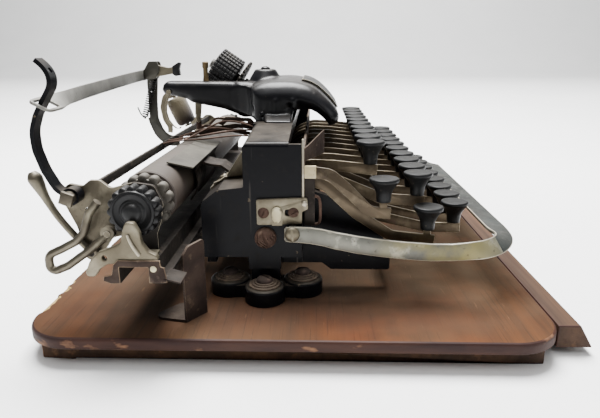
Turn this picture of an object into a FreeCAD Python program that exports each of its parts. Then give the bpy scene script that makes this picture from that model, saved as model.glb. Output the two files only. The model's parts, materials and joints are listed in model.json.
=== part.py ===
import FreeCAD, Part
import os
from math import atan2, cos, degrees, hypot, pi, radians, sin, tan

# Keyboard typewriter with a single type wheel, on its wooden base board.
# Millimetres. +X is the typist's right, +Y the rear, +Z up.
# The origin is the bottom centre of the base board, on the surface it stands on.

V = FreeCAD.Vector

# ---- driving dimensions -------------------------------------------------------------------
RUN_GAP = 0.05          # radial clearance of a pin in its bore
SEAT_GAP = 0.3          # clearance between neighbours that move past each other

BOARD_W, BOARD_FRONT, BOARD_REAR = 330.0, -123.25, 141.25
BOARD_T, BOARD_CORNER_R = 6.0, 25.0
BATTEN_H, BATTEN_W, BATTEN_INSET = 10.0, 16.0, 9.0
MOULDING_W, MOULDING_H = 294.0, 12.0
MOULDING_TOP_DEPTH, MOULDING_FOOT_DEPTH = 11.0, 18.0
BOARD_TOP = BATTEN_H + BOARD_T

BODY_W, CHEEK_T = 230.0, 2.4
BODY_FRONT, BODY_REAR = 4.0, 35.0
SHELF_EDGE_H, SHELF_RISE, SHELF_T, SHELF_LIP = 85.5, 3.0, 4.0, 1.0
LEDGE_REAR, LEDGE_H, SKIRT_H = 58.0, 60.0, 15.5
WALL_T = 5.0
APRON_FRONT, APRON_X, APRON_T, APRON_TOP_H = -45.0, BODY_W / 2 - 15.8, 5.0, 59.0

FOOT_R, FOOT_H = 11.0, 8.5
FOOT_X, FOOT_Y, FOOT_DX, FOOT_DY = BODY_W / 2 + 5.0, 24.25, 12.0, 20.5
WASHER_R, WASHER_H = 8.5, 1.8
SCREW_R, SCREW_DOME_H = 3.8, 2.6

COVER_W, COVER_WALL = 100.0, 4.0
NECK_W, NECK_FRONT, NECK_REAR, NECK_FLARE_H = 124.0, 12.0, 36.0, 4.0
ARM_X, ARM_W = -17.0, 14.0
NAME_PLATE_W, NAME_PLATE_T = 62.0, 1.0

KEY_PITCH = (BODY_W - 25.0) / 10
KEY_CAP_R, KEY_CAP_H, KEY_STEM_R = 8.0, 13.0, 3.75
LEVER_T, LEVER_H, LEVER_EYE_R = 1.5, 6.0, 4.6
KEY_SHAFT_R, KEY_SHAFT_Y, KEY_SHAFT_H = 2.5, 22.0, 52.0
ROW_KEYS = (10, 10, 8)
ROW_FIRST_X = (-4.5 * KEY_PITCH, -4.5 * KEY_PITCH - 5.0, -3.5 * KEY_PITCH - 8.5)
ROW_Y = (-33.5, -59.5, -85.0)
ROW_TOP_H = (83.0, 66.5, 45.5)
SHIFT_X = (3.5 - BODY_W / 2, 6.3 - BODY_W / 2)
SHIFT_Y = (-39.3, -63.9)
SHIFT_TOP_H = (66.3, 50.3)
COMB_T, COMB_SLOT_SIDE = 1.2, 0.45

BAR_X, BAR_T = BODY_W / 2 + 5.5, 2.0
BAR_PIVOT_Y, BAR_PIVOT_H, BAR_SCREW_R = 9.0, 38.0, 2.45
BAR_FRONT_Y, BAR_FLAT_W, BAR_FLAT_T, BAR_CORNER_R = -112.5, 11.0, 3.0, 25.0
BAR_FLAT_H = 30.5

CHANNEL_Y, CHANNEL_L, CHANNEL_W, CHANNEL_T, CHANNEL_H = 80.0, 320.0, 18.0, 1.6, 10.3
CHANNEL_FLANGE = 4.3
END_PLATE_X, END_PLATE_T = CHANNEL_L / 2 - 18.5, 2.0
PLATEN_R, PLATEN_L, PLATEN_Y, PLATEN_H = 14.0, 2 * END_PLATE_X - 27.0, 81.25, 59.0
AXLE_R = 3.0
KNOB_R, KNOB_L, KNOB_LOBES = 13.0, 11.5, 24
RATCHET_R, RATCHET_L, RATCHET_LOBES = 14.2, 6.0, 14
RAIL_W, RAIL_L = 12.0, 220.0
REST_BAR_Y, REST_BAR_H = 102.75, 68.0
UPRIGHT_X, UPRIGHT_W, UPRIGHT_T = 8.0, 7.5, 1.6
STRAP_H, STRAP_T, STRAP_Y, STRAP_Z = 7.0, 1.2, 119.5, 124.6
FINGER_PIN_Y, FINGER_PIN_Z, FINGER_PIN_R = 114.0, 134.5, 1.15
BOW_X, BOW_W, BOW_T = -END_PLATE_X - 3.8, 6.5, 2.0
STUB_Y, STUB_H, STUB_R, BOW_EYE_WALL = 112.0, 65.0, 3.0, 1.2
ROD_R, BALL_R, LEVER_PIN_R = 2.0, 3.6, 1.6
BALL_LEVER_Y, BALL_LEVER_Z = 106.5, 51.5
ROD_LEVER_Y, ROD_LEVER_Z = 96.0, 63.0

WHEEL_X, WHEEL_R, WHEEL_L, WHEEL_COLUMNS = 9.0, 14.0, 17.5, 28
WHEEL_Y, WHEEL_H, WHEEL_TILT = 62.3, 116.4, 33.8
TYPE_SLOT_HALF = 12.0
BEARING_S0, BEARING_S1, SHIFT_TRAVEL = -23.0, -15.0, 3.6
TYPE_PIVOT_Y, TYPE_PIVOT_H = 24.1, 70.7
TYPE_SHAFT_R, TYPE_ARM_T, TYPE_ARM_W, TYPE_PIN_R = 2.0, 8.0, 5.5, 2.5
DISC_R, DISC_T, DISC_TEETH, DISC_GAP = 16.2, 1.6, 28, 2.6

INK_PIVOT_Y, INK_PIVOT_H = 95.5, 104.5
INK_X, INK_R, INK_L, INK_TILT = 2.0, 7.0, 20.0, 66.0
INK_Y, INK_H = 94.3, 89.6

PLATEN_Z = BOARD_TOP + PLATEN_H
KEY_SHAFT_Z = BOARD_TOP + KEY_SHAFT_H
WHEEL_Z = BOARD_TOP + WHEEL_H
TYPE_PIVOT_Z = BOARD_TOP + TYPE_PIVOT_H
BAR_PIVOT_Z = BOARD_TOP + BAR_PIVOT_H
CHANNEL_TOP = BOARD_TOP + 36.7
SHELF_TOP = BOARD_TOP + SHELF_EDGE_H + SHELF_RISE


# ---- helpers ------------------------------------------------------------------------------
def save(node, *solids):
    """Write one sub-part; several separate solids make a group."""
    shape = solids[0] if len(solids) == 1 else Part.makeCompound(list(solids))
    shape.exportStep("parts/%s.step" % node)


def box(x0, x1, y0, y1, z0, z1):
    return Part.makeBox(x1 - x0, y1 - y0, z1 - z0, V(x0, y0, z0))


def rod_x(y, z, r, x0, x1):
    return Part.makeCylinder(r, x1 - x0, V(x0, y, z), V(1, 0, 0))


def fuse(first, *others):
    return first.fuse(list(others)).removeSplitter().Solids[0]


def rounded_wire(points, radii):
    """Closed wire through points (vectors), each corner rounded by its own radius."""
    edges = []
    n = len(points)
    starts, ends, mids = [], [], []
    for i in range(n):
        p, a, b = points[i], points[i - 1], points[(i + 1) % n]
        u, w = (a - p), (b - p)
        lu, lw = u.Length, w.Length
        u.normalize()
        w.normalize()
        half = u.getAngle(w) / 2
        r = radii[i]
        if r <= 0 or abs(half - pi / 2) < 0.01:
            starts.append(p)
            ends.append(p)
            mids.append(None)
            continue
        cut = min(r / tan(half), 0.49 * min(lu, lw))
        r = cut * tan(half)
        centre = p + (u + w).normalize() * (r / sin(half))
        starts.append(p + u * cut)
        ends.append(p + w * cut)
        mids.append(centre + (p - centre).normalize() * r)
    for i in range(n):
        if mids[i] is not None:
            edges.append(Part.Arc(starts[i], mids[i], ends[i]).toShape())
        nxt = starts[(i + 1) % n]
        if (nxt - ends[i]).Length > 1e-6:
            edges.append(Part.LineSegment(ends[i], nxt).toShape())
    return Part.Wire(edges)


def plate_x(outline, x0, x1, radius=0.0):
    """A plate across X whose outline is given as (y, z) points."""
    points = [V(x0, y, z) for y, z in outline]
    radii = radius if isinstance(radius, (list, tuple)) else [radius] * len(points)
    return Part.Face(rounded_wire(points, radii)).extrude(V(x1 - x0, 0, 0))


def plate_y(outline, y0, y1, radius=0.0):
    points = [V(x, y0, z) for x, z in outline]
    return Part.Face(rounded_wire(points, [radius] * len(points))).extrude(V(0, y1 - y0, 0))


def plate_z(outline, z0, z1, radius=0.0):
    points = [V(x, y, z0) for x, y in outline]
    return Part.Face(rounded_wire(points, [radius] * len(points))).extrude(V(0, 0, z1 - z0))


def band_outline(path, width, bend):
    """Outline and corner radii of a band of constant width along a (y, z) path."""
    sides = ([], [])
    radii = ([], [])
    last = len(path) - 1
    for i, (y, z) in enumerate(path):
        before = path[max(i - 1, 0)]
        after = path[min(i + 1, last)]
        d_in = (y - before[0], z - before[1]) if i > 0 else (after[0] - y, after[1] - z)
        d_out = (after[0] - y, after[1] - z) if i < last else d_in
        n_in, n_out = hypot(*d_in), hypot(*d_out)
        ni = (-d_in[1] / n_in, d_in[0] / n_in)
        no = (-d_out[1] / n_out, d_out[0] / n_out)
        mx, mz = ni[0] + no[0], ni[1] + no[1]
        scale = 1 / (1 + ni[0] * no[0] + ni[1] * no[1])
        turn = ni[0] * no[1] - ni[1] * no[0]
        for s, sign in ((0, 1), (1, -1)):
            off = sign * width / 2 * scale
            sides[s].append((y + mx * off, z + mz * off))
            inner = turn * sign > 0
            radii[s].append(0.0 if i in (0, last) else bend + (-width / 2 if inner else width / 2))
    return sides[0] + sides[1][::-1], radii[0] + radii[1][::-1]


def band_x(path, width, x0, x1, bend):
    outline, radii = band_outline(path, width, bend)
    return plate_x(outline, x0, x1, radii)


def bent_rod(points, r, bend):
    """A round rod of straight runs joined by tangent arcs."""
    edges = []
    here = points[0]
    for i in range(1, len(points) - 1):
        p = points[i]
        u = (points[i - 1] - p).normalize()
        w = (points[i + 1] - p).normalize()
        half = u.getAngle(w) / 2
        reach = min((points[i - 1] - p).Length, (points[i + 1] - p).Length) * 0.45
        cut = min(bend / tan(half), reach)
        rr = cut * tan(half)
        centre = p + (u + w).normalize() * (rr / sin(half))
        a, b = p + u * cut, p + w * cut
        edges.append(Part.LineSegment(here, a).toShape())
        edges.append(Part.Arc(a, centre + (p - centre).normalize() * rr, b).toShape())
        here = b
    edges.append(Part.LineSegment(here, points[-1]).toShape())
    path = Part.Wire(edges)
    start = points[1] - points[0]
    ring = Part.Wire(Part.makeCircle(r, points[0], start))
    tube = path.makePipeShell([ring], True, False)
    return tube


def mirrored(shape):
    return shape.mirror(V(0, 0, 0), V(1, 0, 0))


def slotted_head(base, axis, r, h, slot_dir):
    """A screw head with a crowned top and a screwdriver slot."""
    edge = h * 0.45
    crown = Part.Arc(V(r, 0, edge), V(r * 0.6, 0, h - (h - edge) * 0.36), V(0, 0, h)).toShape()
    sides = Part.makePolygon([V(0, 0, h), V(0, 0, 0), V(r, 0, 0), V(r, 0, edge)])
    head = Part.Face(Part.Wire([crown] + sides.Edges)).revolve(V(0, 0, 0), V(0, 0, 1), 360)
    rotation = FreeCAD.Rotation(V(0, 0, 1), axis)
    local = rotation.inverted().multVec(slot_dir)
    width, depth = r * 0.24, h * 0.4
    slot = Part.makeBox(r * 2.4, width, depth * 2, V(-r * 1.2, -width / 2, h - depth))
    slot.rotate(V(0, 0, 0), V(0, 0, 1), degrees(atan2(local.y, local.x)))
    head = head.cut(slot).Solids[0]
    head.Placement = FreeCAD.Placement(base, rotation)
    return head


# ---- base ---------------------------------------------------------------------------------
def make_board():
    half = BOARD_W / 2
    outline = [(-half, BOARD_FRONT), (half, BOARD_FRONT), (half, BOARD_REAR), (-half, BOARD_REAR)]
    board = plate_z(outline, BATTEN_H, BOARD_TOP, BOARD_CORNER_R)
    save("base_board", board)


def make_base_rails():
    x_out = BOARD_W / 2 - BATTEN_INSET
    y0, y1 = BOARD_FRONT + BATTEN_INSET, BOARD_REAR - BATTEN_INSET
    side = box(-x_out, -x_out + BATTEN_W, y0 + BATTEN_W, y1 - BATTEN_W, 0, BATTEN_H)
    front = box(-x_out, x_out, y0, y0 + BATTEN_W, 0, BATTEN_H)
    rear = box(-x_out, x_out, y1 - BATTEN_W, y1, 0, BATTEN_H)
    z0 = BOARD_TOP - MOULDING_H
    profile = [(BOARD_FRONT, z0), (BOARD_FRONT - MOULDING_FOOT_DEPTH, z0),
               (BOARD_FRONT - MOULDING_TOP_DEPTH, BOARD_TOP), (BOARD_FRONT, BOARD_TOP)]
    moulding = plate_x(profile, -MOULDING_W / 2, MOULDING_W / 2)
    save("base_rails", side, mirrored(side), front, rear, moulding)


def make_stop_bracket():
    """Sheet angle that stands on the board by the left end of the carriage."""
    x = 17.0 - BOARD_W / 2
    a, b = V(x, 60.75, BOARD_TOP), V(x + 12, 52.75, BOARD_TOP)
    along = (b - a).normalize()
    out = V(along.y, -along.x, 0) * -1.4
    height, slope = 40.5, 5.0
    points = [a, b, b + V(0, 0, height), a + along * 4 + V(0, 0, height - 1.2), a + V(0, 0, height - slope)]
    sheet = Part.Face(rounded_wire(points, [0, 0, 1.5, 3, 3])).extrude(out)
    foot_points = [a, b, b + V(9, 15, 0), a + V(4, 19, 0)]
    foot = Part.Face(rounded_wire(foot_points, [0, 0, 4, 4])).extrude(V(0, 0, 1.4))
    save("carriage_stop_bracket", fuse(sheet, foot))


# ---- body ---------------------------------------------------------------------------------
def make_main_frame():
    half = BODY_W / 2
    inner = half - CHEEK_T
    z_skirt = BOARD_TOP + SKIRT_H
    z_ledge = BOARD_TOP + LEDGE_H
    z_edge = BOARD_TOP + SHELF_EDGE_H
    cheek = plate_x([(BODY_FRONT, z_skirt + 6), (BODY_FRONT, z_edge - 1), (BODY_REAR, z_edge - 1),
                     (BODY_REAR, z_ledge + 1.5), (BODY_REAR + 14, z_ledge), (LEDGE_REAR, z_ledge - 7),
                     (LEDGE_REAR, z_skirt), (BODY_REAR - 4, z_skirt), (BODY_REAR - 6, z_skirt + 6)],
                    -half, -inner, [0, 0, 2, 1, 6, 4, 1, 1, 1])
    shelf = plate_y([(-half, z_edge - SHELF_T), (-half, z_edge), (-NECK_W / 2, SHELF_TOP),
                     (NECK_W / 2, SHELF_TOP), (half, z_edge), (half, z_edge - SHELF_T)],
                    NECK_FRONT - SHELF_LIP, BODY_REAR)
    rear_wall = box(-inner, inner, BODY_REAR - WALL_T, BODY_REAR, z_ledge - 4, z_edge - 1)
    ledge = plate_x([(BODY_REAR - WALL_T, z_ledge - 4), (BODY_REAR - WALL_T, z_ledge + 1.5),
                     (BODY_REAR + 14, z_ledge), (LEDGE_REAR, z_ledge - 7), (LEDGE_REAR, z_skirt),
                     (LEDGE_REAR - WALL_T, z_skirt), (LEDGE_REAR - WALL_T, z_ledge - 9),
                     (BODY_REAR + 13, z_ledge - 4)], -inner, inner)
    apron_side = [(BODY_FRONT + 6, z_skirt), (BODY_FRONT + 6, BOARD_TOP + APRON_TOP_H),
                  (BODY_FRONT, BOARD_TOP + APRON_TOP_H), (-33, BOARD_TOP + 47), (-40, BOARD_TOP + 33),
                  (APRON_FRONT, BOARD_TOP + 18), (APRON_FRONT, z_skirt - 4), (-12, z_skirt - 4),
                  (-7, z_skirt)]
    apron = plate_x(apron_side, -APRON_X - APRON_T, -APRON_X, 1.5)
    sill = box(-half + 1, -APRON_X, BODY_FRONT, BODY_REAR, z_skirt, z_skirt + 8)
    front_bar = box(-APRON_X, APRON_X, APRON_FRONT, APRON_FRONT + WALL_T, z_skirt - 4, BOARD_TOP + 17)
    foot_top = BOARD_TOP + FOOT_H
    discs = []
    for x, y in foot_places(-1):
        disc = Part.makeCylinder(FOOT_R, FOOT_H, V(x, y, BOARD_TOP))
        discs.append(disc.makeFillet(1.6, [disc.Edges[0]]))
    web = box(-FOOT_X + 2, -FOOT_X + FOOT_DX + 6, FOOT_Y - FOOT_DY, FOOT_Y + FOOT_DY,
              BOARD_TOP, foot_top - 1.5)
    neck_x = -FOOT_X + WASHER_R + SEAT_GAP
    neck = box(neck_x, neck_x + 7, FOOT_Y - 8, FOOT_Y + 8, foot_top - 2, z_skirt + 7)
    boss = rod_x(BAR_PIVOT_Y, BAR_PIVOT_Z, BAR_SCREW_R + 0.95, -BAR_X + BAR_T / 2 + 0.1, -half + 1)
    side = [cheek, apron, sill, web, neck, boss] + discs
    lug_r = TYPE_PIN_R + 3.5
    y0, y1 = TYPE_PIVOT_Y - lug_r, BODY_REAR - 2
    z0, z1 = TYPE_PIVOT_Z - lug_r, TYPE_PIVOT_Z + lug_r
    lugs = []
    for x in (WHEEL_X - TYPE_SLOT_HALF - 3, WHEEL_X + TYPE_SLOT_HALF):
        lugs.append(plate_x([(y0, z0), (y0, z1), (y1, z1), (y1, z0)], x, x + 3, [3, 3, 0, 0]))
    body = shelf.fuse([rear_wall, ledge, front_bar] + side + [mirrored(s) for s in side] + lugs)
    slot = box(WHEEL_X - TYPE_SLOT_HALF, WHEEL_X + TYPE_SLOT_HALF, BODY_FRONT + 12, BODY_REAR + 1,
               TYPE_PIVOT_Z - 5, SHELF_TOP + 1)
    pin_bore = rod_x(TYPE_PIVOT_Y, TYPE_PIVOT_Z, TYPE_PIN_R + RUN_GAP, WHEEL_X - 16, WHEEL_X + 16)
    shaft_bore = rod_x(KEY_SHAFT_Y, KEY_SHAFT_Z, KEY_SHAFT_R + RUN_GAP, -half + 1, half - 1)
    screw_bore = rod_x(BAR_PIVOT_Y, BAR_PIVOT_Z, BAR_SCREW_R + RUN_GAP, -BAR_X, -inner + 1)
    body = body.cut([slot, pin_bore, shaft_bore, screw_bore, mirrored(screw_bore)]).removeSplitter()
    save("main_frame", body.Solids[0])


def foot_places(side):
    """Centres of the three foot lobes; side is -1 for the left and 1 for the right."""
    yield side * FOOT_X, FOOT_Y
    yield side * (FOOT_X - FOOT_DX), FOOT_Y - FOOT_DY
    yield side * (FOOT_X - FOOT_DX), FOOT_Y + FOOT_DY


def make_foot_fasteners():
    """Stepped washer under a domed slotted wood screw, in each of the six lobes."""
    solids = []
    z = BOARD_TOP + FOOT_H
    for i, (x, y) in enumerate(list(foot_places(-1)) + list(foot_places(1))):
        washer = Part.makeCylinder(WASHER_R, WASHER_H, V(x, y, z))
        step = Part.makeCylinder(WASHER_R - 2, WASHER_H, V(x, y, z + WASHER_H))
        solids.append(fuse(washer, step))
        turn = radians(40 * i + 15)
        top = V(x, y, z + 2 * WASHER_H)
        solids.append(slotted_head(top, V(0, 0, 1), SCREW_R, SCREW_DOME_H, V(cos(turn), sin(turn), 0)))
    save("foot_fasteners", *solids)


HOOD_OVER_SHELF = [(38.0, 22.0), (30.2, 24.9), (20.0, 25.7), (12.9, 25.6), (6.8, 24.7), (-0.5, 22.4),
                   (-6.7, 18.1), (-12.3, 12.1), (-16.4, 6.2), (-18.0, 1.7)]
HOOD_TOP = [(y, SHELF_TOP + up) for y, up in HOOD_OVER_SHELF]
TURRET_FOOT_Z, TURRET_H = SHELF_TOP + 24.1, 6.5


def make_top_cover():
    """Hood over the type mechanism, with the long arm that carries the ink roller."""
    x0, x1 = -COVER_W / 2, COVER_W / 2

    def hood_block(points, inner_edge, xa, xb):
        curve = Part.BSplineCurve()
        curve.interpolate([V(xa, y, z) for y, z in points])
        rest = [points[-1]] + inner_edge + [points[0]]
        lines = [Part.LineSegment(V(xa, *a), V(xa, *b)).toShape() for a, b in zip(rest, rest[1:])]
        return Part.Face(Part.Wire([curve.toShape()] + lines)).extrude(V(xb - xa, 0, 0))

    zs = SHELF_TOP
    under = [(-17.2, zs - 1.7), (-14.4, zs - 3.7), (-10.6, zs - 3.9), (-3.1, zs + 3.1), (0.7, zs + 5.6),
             (5.0, zs + 6.4), (NECK_FRONT, zs + 4), (NECK_FRONT, zs), (NECK_REAR, zs),
             (NECK_REAR, zs + 9.5), (38.0, zs + 12.5)]
    hood = hood_block(HOOD_TOP, under, x0, x1)
    w = COVER_WALL
    inside = []
    for y, z in HOOD_TOP[1:-1]:
        inside.append((y - 0.2 * w if y > 15 else y + 0.75 * w, z - w * (1 if y > 5 else 0.75)))
    floor = [(-9.0, zs - 6.5), (NECK_FRONT + w, zs - 6.5), (NECK_REAR - w, zs - 6.5),
             (NECK_REAR - w, zs + 7.5)]
    hollow = hood_block(inside, floor, x0 + w, x1 - w)
    n = NECK_W / 2
    flare = SHELF_TOP + NECK_FLARE_H
    neck = plate_y([(x0, SHELF_TOP), (-n, SHELF_TOP), (x0 - 0.5, flare), (x0, flare)], NECK_FRONT, NECK_REAR)
    zb = BOARD_TOP
    arm_outline = [(30.0, SHELF_TOP), (38.0, SHELF_TOP), (45.0, zb + 87.5), (59.2, zb + 93.0),
                   (67.8, zb + 94.8), (81.0, zb + 97.4), (84.0, zb + 99.8), (99.5, zb + 103.2),
                   (100.8, zb + 106.0), (99.6, zb + 109.6), (96.8, zb + 111.6), (75.1, zb + 111.5),
                   (30.0, zb + 110.8)]
    arm_radii = [0, 0, 3, 8, 8, 2, 2, 2, 1.5, 2, 2, 0, 0]
    arm = plate_x(arm_outline, ARM_X - ARM_W / 2, ARM_X + ARM_W / 2, arm_radii)
    turret = Part.makeCone(11, 7, TURRET_H, V(ARM_X + 6, 31.5, TURRET_FOOT_Z))
    cover = hood.fuse([neck, mirrored(neck), arm, turret])
    sx0, sx1 = WHEEL_X - TYPE_SLOT_HALF, WHEEL_X + TYPE_SLOT_HALF
    slot_low = box(sx0, sx1, BODY_FRONT + 14, NECK_REAR + 4, zs - 1, zs + 14.5)
    slot_rear = box(sx0, sx1, NECK_REAR - 1.5, NECK_REAR + 6, zs - 1, zs + 26.5)
    ink_bore = rod_x(INK_PIVOT_Y, BOARD_TOP + INK_PIVOT_H, 1.6 + RUN_GAP, ARM_X - ARM_W, ARM_X + ARM_W)
    cover = cover.cut([hollow, slot_low, slot_rear, ink_bore]).removeSplitter()
    save("top_cover", max(cover.Solids, key=lambda s: s.Volume))


def make_name_plate():
    """Bare curved plate that lies along the front of the hood."""
    lower = Part.BSplineCurve()
    upper = Part.BSplineCurve()
    xa = -NAME_PLATE_W / 2
    points = HOOD_TOP[4:9]
    lower.interpolate([V(xa, y - 0.25, z + 0.35) for y, z in points])
    t = NAME_PLATE_T
    upper.interpolate([V(xa, y - 0.25 - 0.75 * t, z + 0.35 + 0.75 * t) for y, z in points])
    a, b = lower.toShape(), upper.toShape()
    ends = [Part.LineSegment(lower.StartPoint, upper.StartPoint).toShape(),
            Part.LineSegment(lower.EndPoint, upper.EndPoint).toShape()]
    face = Part.Face(Part.Wire(Part.__sortEdges__([a, b] + ends)))
    save("name_plate", face.extrude(V(NAME_PLATE_W, 0, 0)))


def make_adjusting_plate():
    x0 = -BODY_W / 2
    z = BOARD_TOP
    plate = plate_x([(28.1, z + 55.4), (1.3, z + 56.6), (0.8, z + 50.6), (4.0, z + 48.9), (4.0, z + 42.3),
                     (27.9, z + 41.6)], x0 - 2.0, x0, [1, 1, 1, 1, 1, 1])
    lug = rod_x(17.1, z + 48.0, 3.2, x0 - 4.2, x0 - 1.5)
    tail = box(x0 - 3.6, x0 - 1.5, 14.4, 19.8, z + 41.8, z + 48.0)
    save("adjusting_plate", fuse(plate, lug, tail))


def make_frame_screws():
    """Slotted screws on the left cheek, the hood and both space-bar pivots."""
    solids = []
    left = V(-1, 0, 0)
    x0 = -BODY_W / 2
    z = BOARD_TOP
    for y, angle in ((25.0, 65), (8.1, 35)):
        slot = V(0, cos(radians(angle)), sin(radians(angle)))
        solids.append(slotted_head(V(x0 - 2.0, y, z + 48.1), left, 3.5, 2.2, slot))
    fluted = slotted_head(V(x0, 23.7, z + 33.9), left, 5.8, 4.0, V(0, 0.9, -0.436))
    solids.append(fluted)
    turret_top = V(ARM_X + 6, 31.5, TURRET_FOOT_Z + TURRET_H)
    solids.append(slotted_head(turret_top, V(0, 0, 1), 3.0, 2.2, V(1, 0, 0)))
    solids.append(slotted_head(V(-COVER_W / 2, 29.0, SHELF_TOP + 9), left, 2.2, 1.6, V(0, 1, 0)))
    for s in (-1, 1):
        out = V(s, 0, 0)
        root = BODY_W / 2 - CHEEK_T
        face = BAR_X + BAR_T / 2 + SEAT_GAP
        shank = Part.makeCylinder(BAR_SCREW_R, face - root + 0.5, V(s * root, BAR_PIVOT_Y, BAR_PIVOT_Z), out)
        head = slotted_head(V(s * face, BAR_PIVOT_Y, BAR_PIVOT_Z), out, 4.0, 2.4, V(0, 0, 1))
        solids.append(fuse(head, shank))
    save("frame_screws", *solids)


# ---- keyboard -----------------------------------------------------------------------------
def lever_path(kind, y_end, z_end):
    """Centre line of a key lever, from the pivot shaft through the comb to its cap."""
    zb = BOARD_TOP
    start = (KEY_SHAFT_Y, KEY_SHAFT_Z)
    if kind == "row1":
        return [start, (11.0, zb + 65.0), (0.0, zb + 69.5), (-13.0, zb + 69.0), (y_end - 4, z_end)]
    if kind == "row2":
        return [start, (11.0, zb + 62.0), (1.0, zb + 65.5), (-14.0, zb + 62.0), (-40.0, z_end + 1.5),
                (y_end - 4, z_end)]
    if kind == "row3":
        return [start, (11.0, zb + 58.5), (1.0, zb + 61.5), (-12.0, zb + 56.0), (-40.0, zb + 36.0),
                (-68.0, z_end + 0.5), (y_end - 4, z_end)]
    if kind == "shift1":
        return [start, (11.0, zb + 64.5), (0.0, zb + 69.5), (-11.0, zb + 68.0), (-20.0, zb + 60.0),
                (-32.0, zb + 47.6), (y_end - 4, z_end)]
    return [start, (11.0, zb + 61.5), (1.0, zb + 65.0), (-9.0, zb + 61.0), (-25.0, zb + 46.0),
            (-44.0, zb + 33.5), (y_end - 4, z_end)]


def make_key(node, kind, x, y, top):
    """Tapered cap with a thin lip, its stem, and the flat lever it stands on."""
    drop = 3.5 if kind.startswith("shift") else 0.6
    z_end = top - KEY_CAP_H - drop - LEVER_H / 2
    lever = band_x(lever_path(kind, y, z_end), LEVER_H, x - LEVER_T / 2, x + LEVER_T / 2, 9.0)
    eye = rod_x(KEY_SHAFT_Y, KEY_SHAFT_Z, LEVER_EYE_R, x - LEVER_T / 2, x + LEVER_T / 2)
    bore = rod_x(KEY_SHAFT_Y, KEY_SHAFT_Z, KEY_SHAFT_R + RUN_GAP, x - LEVER_T, x + LEVER_T)
    lever = fuse(lever, eye).cut(bore).Solids[0]
    r, h, s = KEY_CAP_R, KEY_CAP_H, KEY_STEM_R
    z0 = top - h
    profile = [(0, z0), (s, z0), (s + 0.4, z0 + 0.42 * h), (s + 1.6, z0 + 0.66 * h),
               (r - 1.2, z0 + 0.86 * h), (r, z0 + 0.91 * h), (r, top - 0.5), (r - 0.6, top), (0, top - 0.6)]
    wire = Part.makePolygon([V(x + a, y, b) for a, b in profile] + [V(x, y, z0)])
    cap = Part.Face(wire).revolve(V(x, y, 0), V(0, 0, 1), 360)
    cap = Part.Solid(cap.Shells[0]) if not cap.Solids else cap.Solids[0]
    tang = box(x - LEVER_T / 2, x + LEVER_T / 2, y - 2.0, y + 2.0, z_end + LEVER_H / 2 - 1.0, z0)
    save(node, fuse(lever, tang), cap)


def key_list():
    for row in range(3):
        for i in range(ROW_KEYS[row]):
            node = "row%d_key_%02d" % (row + 1, i + 1)
            x = ROW_FIRST_X[row] + KEY_PITCH * i
            yield node, "row%d" % (row + 1), x, ROW_Y[row], BOARD_TOP + ROW_TOP_H[row]
    for i, node in enumerate(("shift_key_upper", "shift_key_lower")):
        yield node, "shift%d" % (i + 1), SHIFT_X[i], SHIFT_Y[i], BOARD_TOP + SHIFT_TOP_H[i]


def make_keyboard():
    half = BODY_W / 2
    for node, kind, x, y, top in key_list():
        make_key(node, kind, x, y, top)
    save("key_pivot_shaft", rod_x(KEY_SHAFT_Y, KEY_SHAFT_Z, KEY_SHAFT_R, -half + 1.2, half - 1.2))
    y1 = BODY_FRONT
    z0, z1 = BOARD_TOP + 50.0, BOARD_TOP + SHELF_EDGE_H - SHELF_T
    comb = box(-half, half, y1 - COMB_T, y1, z0, z1 - 1.0)
    cuts = []
    for node, kind, x, y, top in key_list():
        w = LEVER_T / 2 + COMB_SLOT_SIDE
        cuts.append(box(x - w, x + w, y1 - 2 * COMB_T, y1 + COMB_T, z0 + 4.0, BOARD_TOP + 74.5))
    notch = box(-APRON_X - APRON_T - 0.7, -APRON_X + 0.9, y1 - 2 * COMB_T, y1 + COMB_T,
                z0 - 1, BOARD_TOP + APRON_TOP_H + 0.6)
    comb = comb.cut(cuts + [notch, mirrored(notch)])
    save("key_comb", fuse(comb, plate_wing(-half, y1, z1)))


def plate_wing(x0, y1, z1):
    """Upright wing plate that stands out from the comb's left end, over the levers."""
    t = 1.2
    outline = [(x0, y1 - COMB_T), (x0 + 26, y1 - 12), (x0 + 26, y1 - 12 + t), (x0 + t, y1 - COMB_T + t)]
    points = [V(x, y, z1 - 6) for x, y in outline]
    block = Part.Face(Part.makePolygon(points + [points[0]])).extrude(V(0, 0, 16))
    trim = plate_x([(y1 + 2, z1 - 0.5), (y1 - 3, z1 + 1.5), (y1 - 13, z1 + 8), (y1 - 13, z1 + 20),
                    (y1 + 2, z1 + 20)], x0 - 1, x0 + 30)
    return block.cut(trim).Solids[0]


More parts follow.
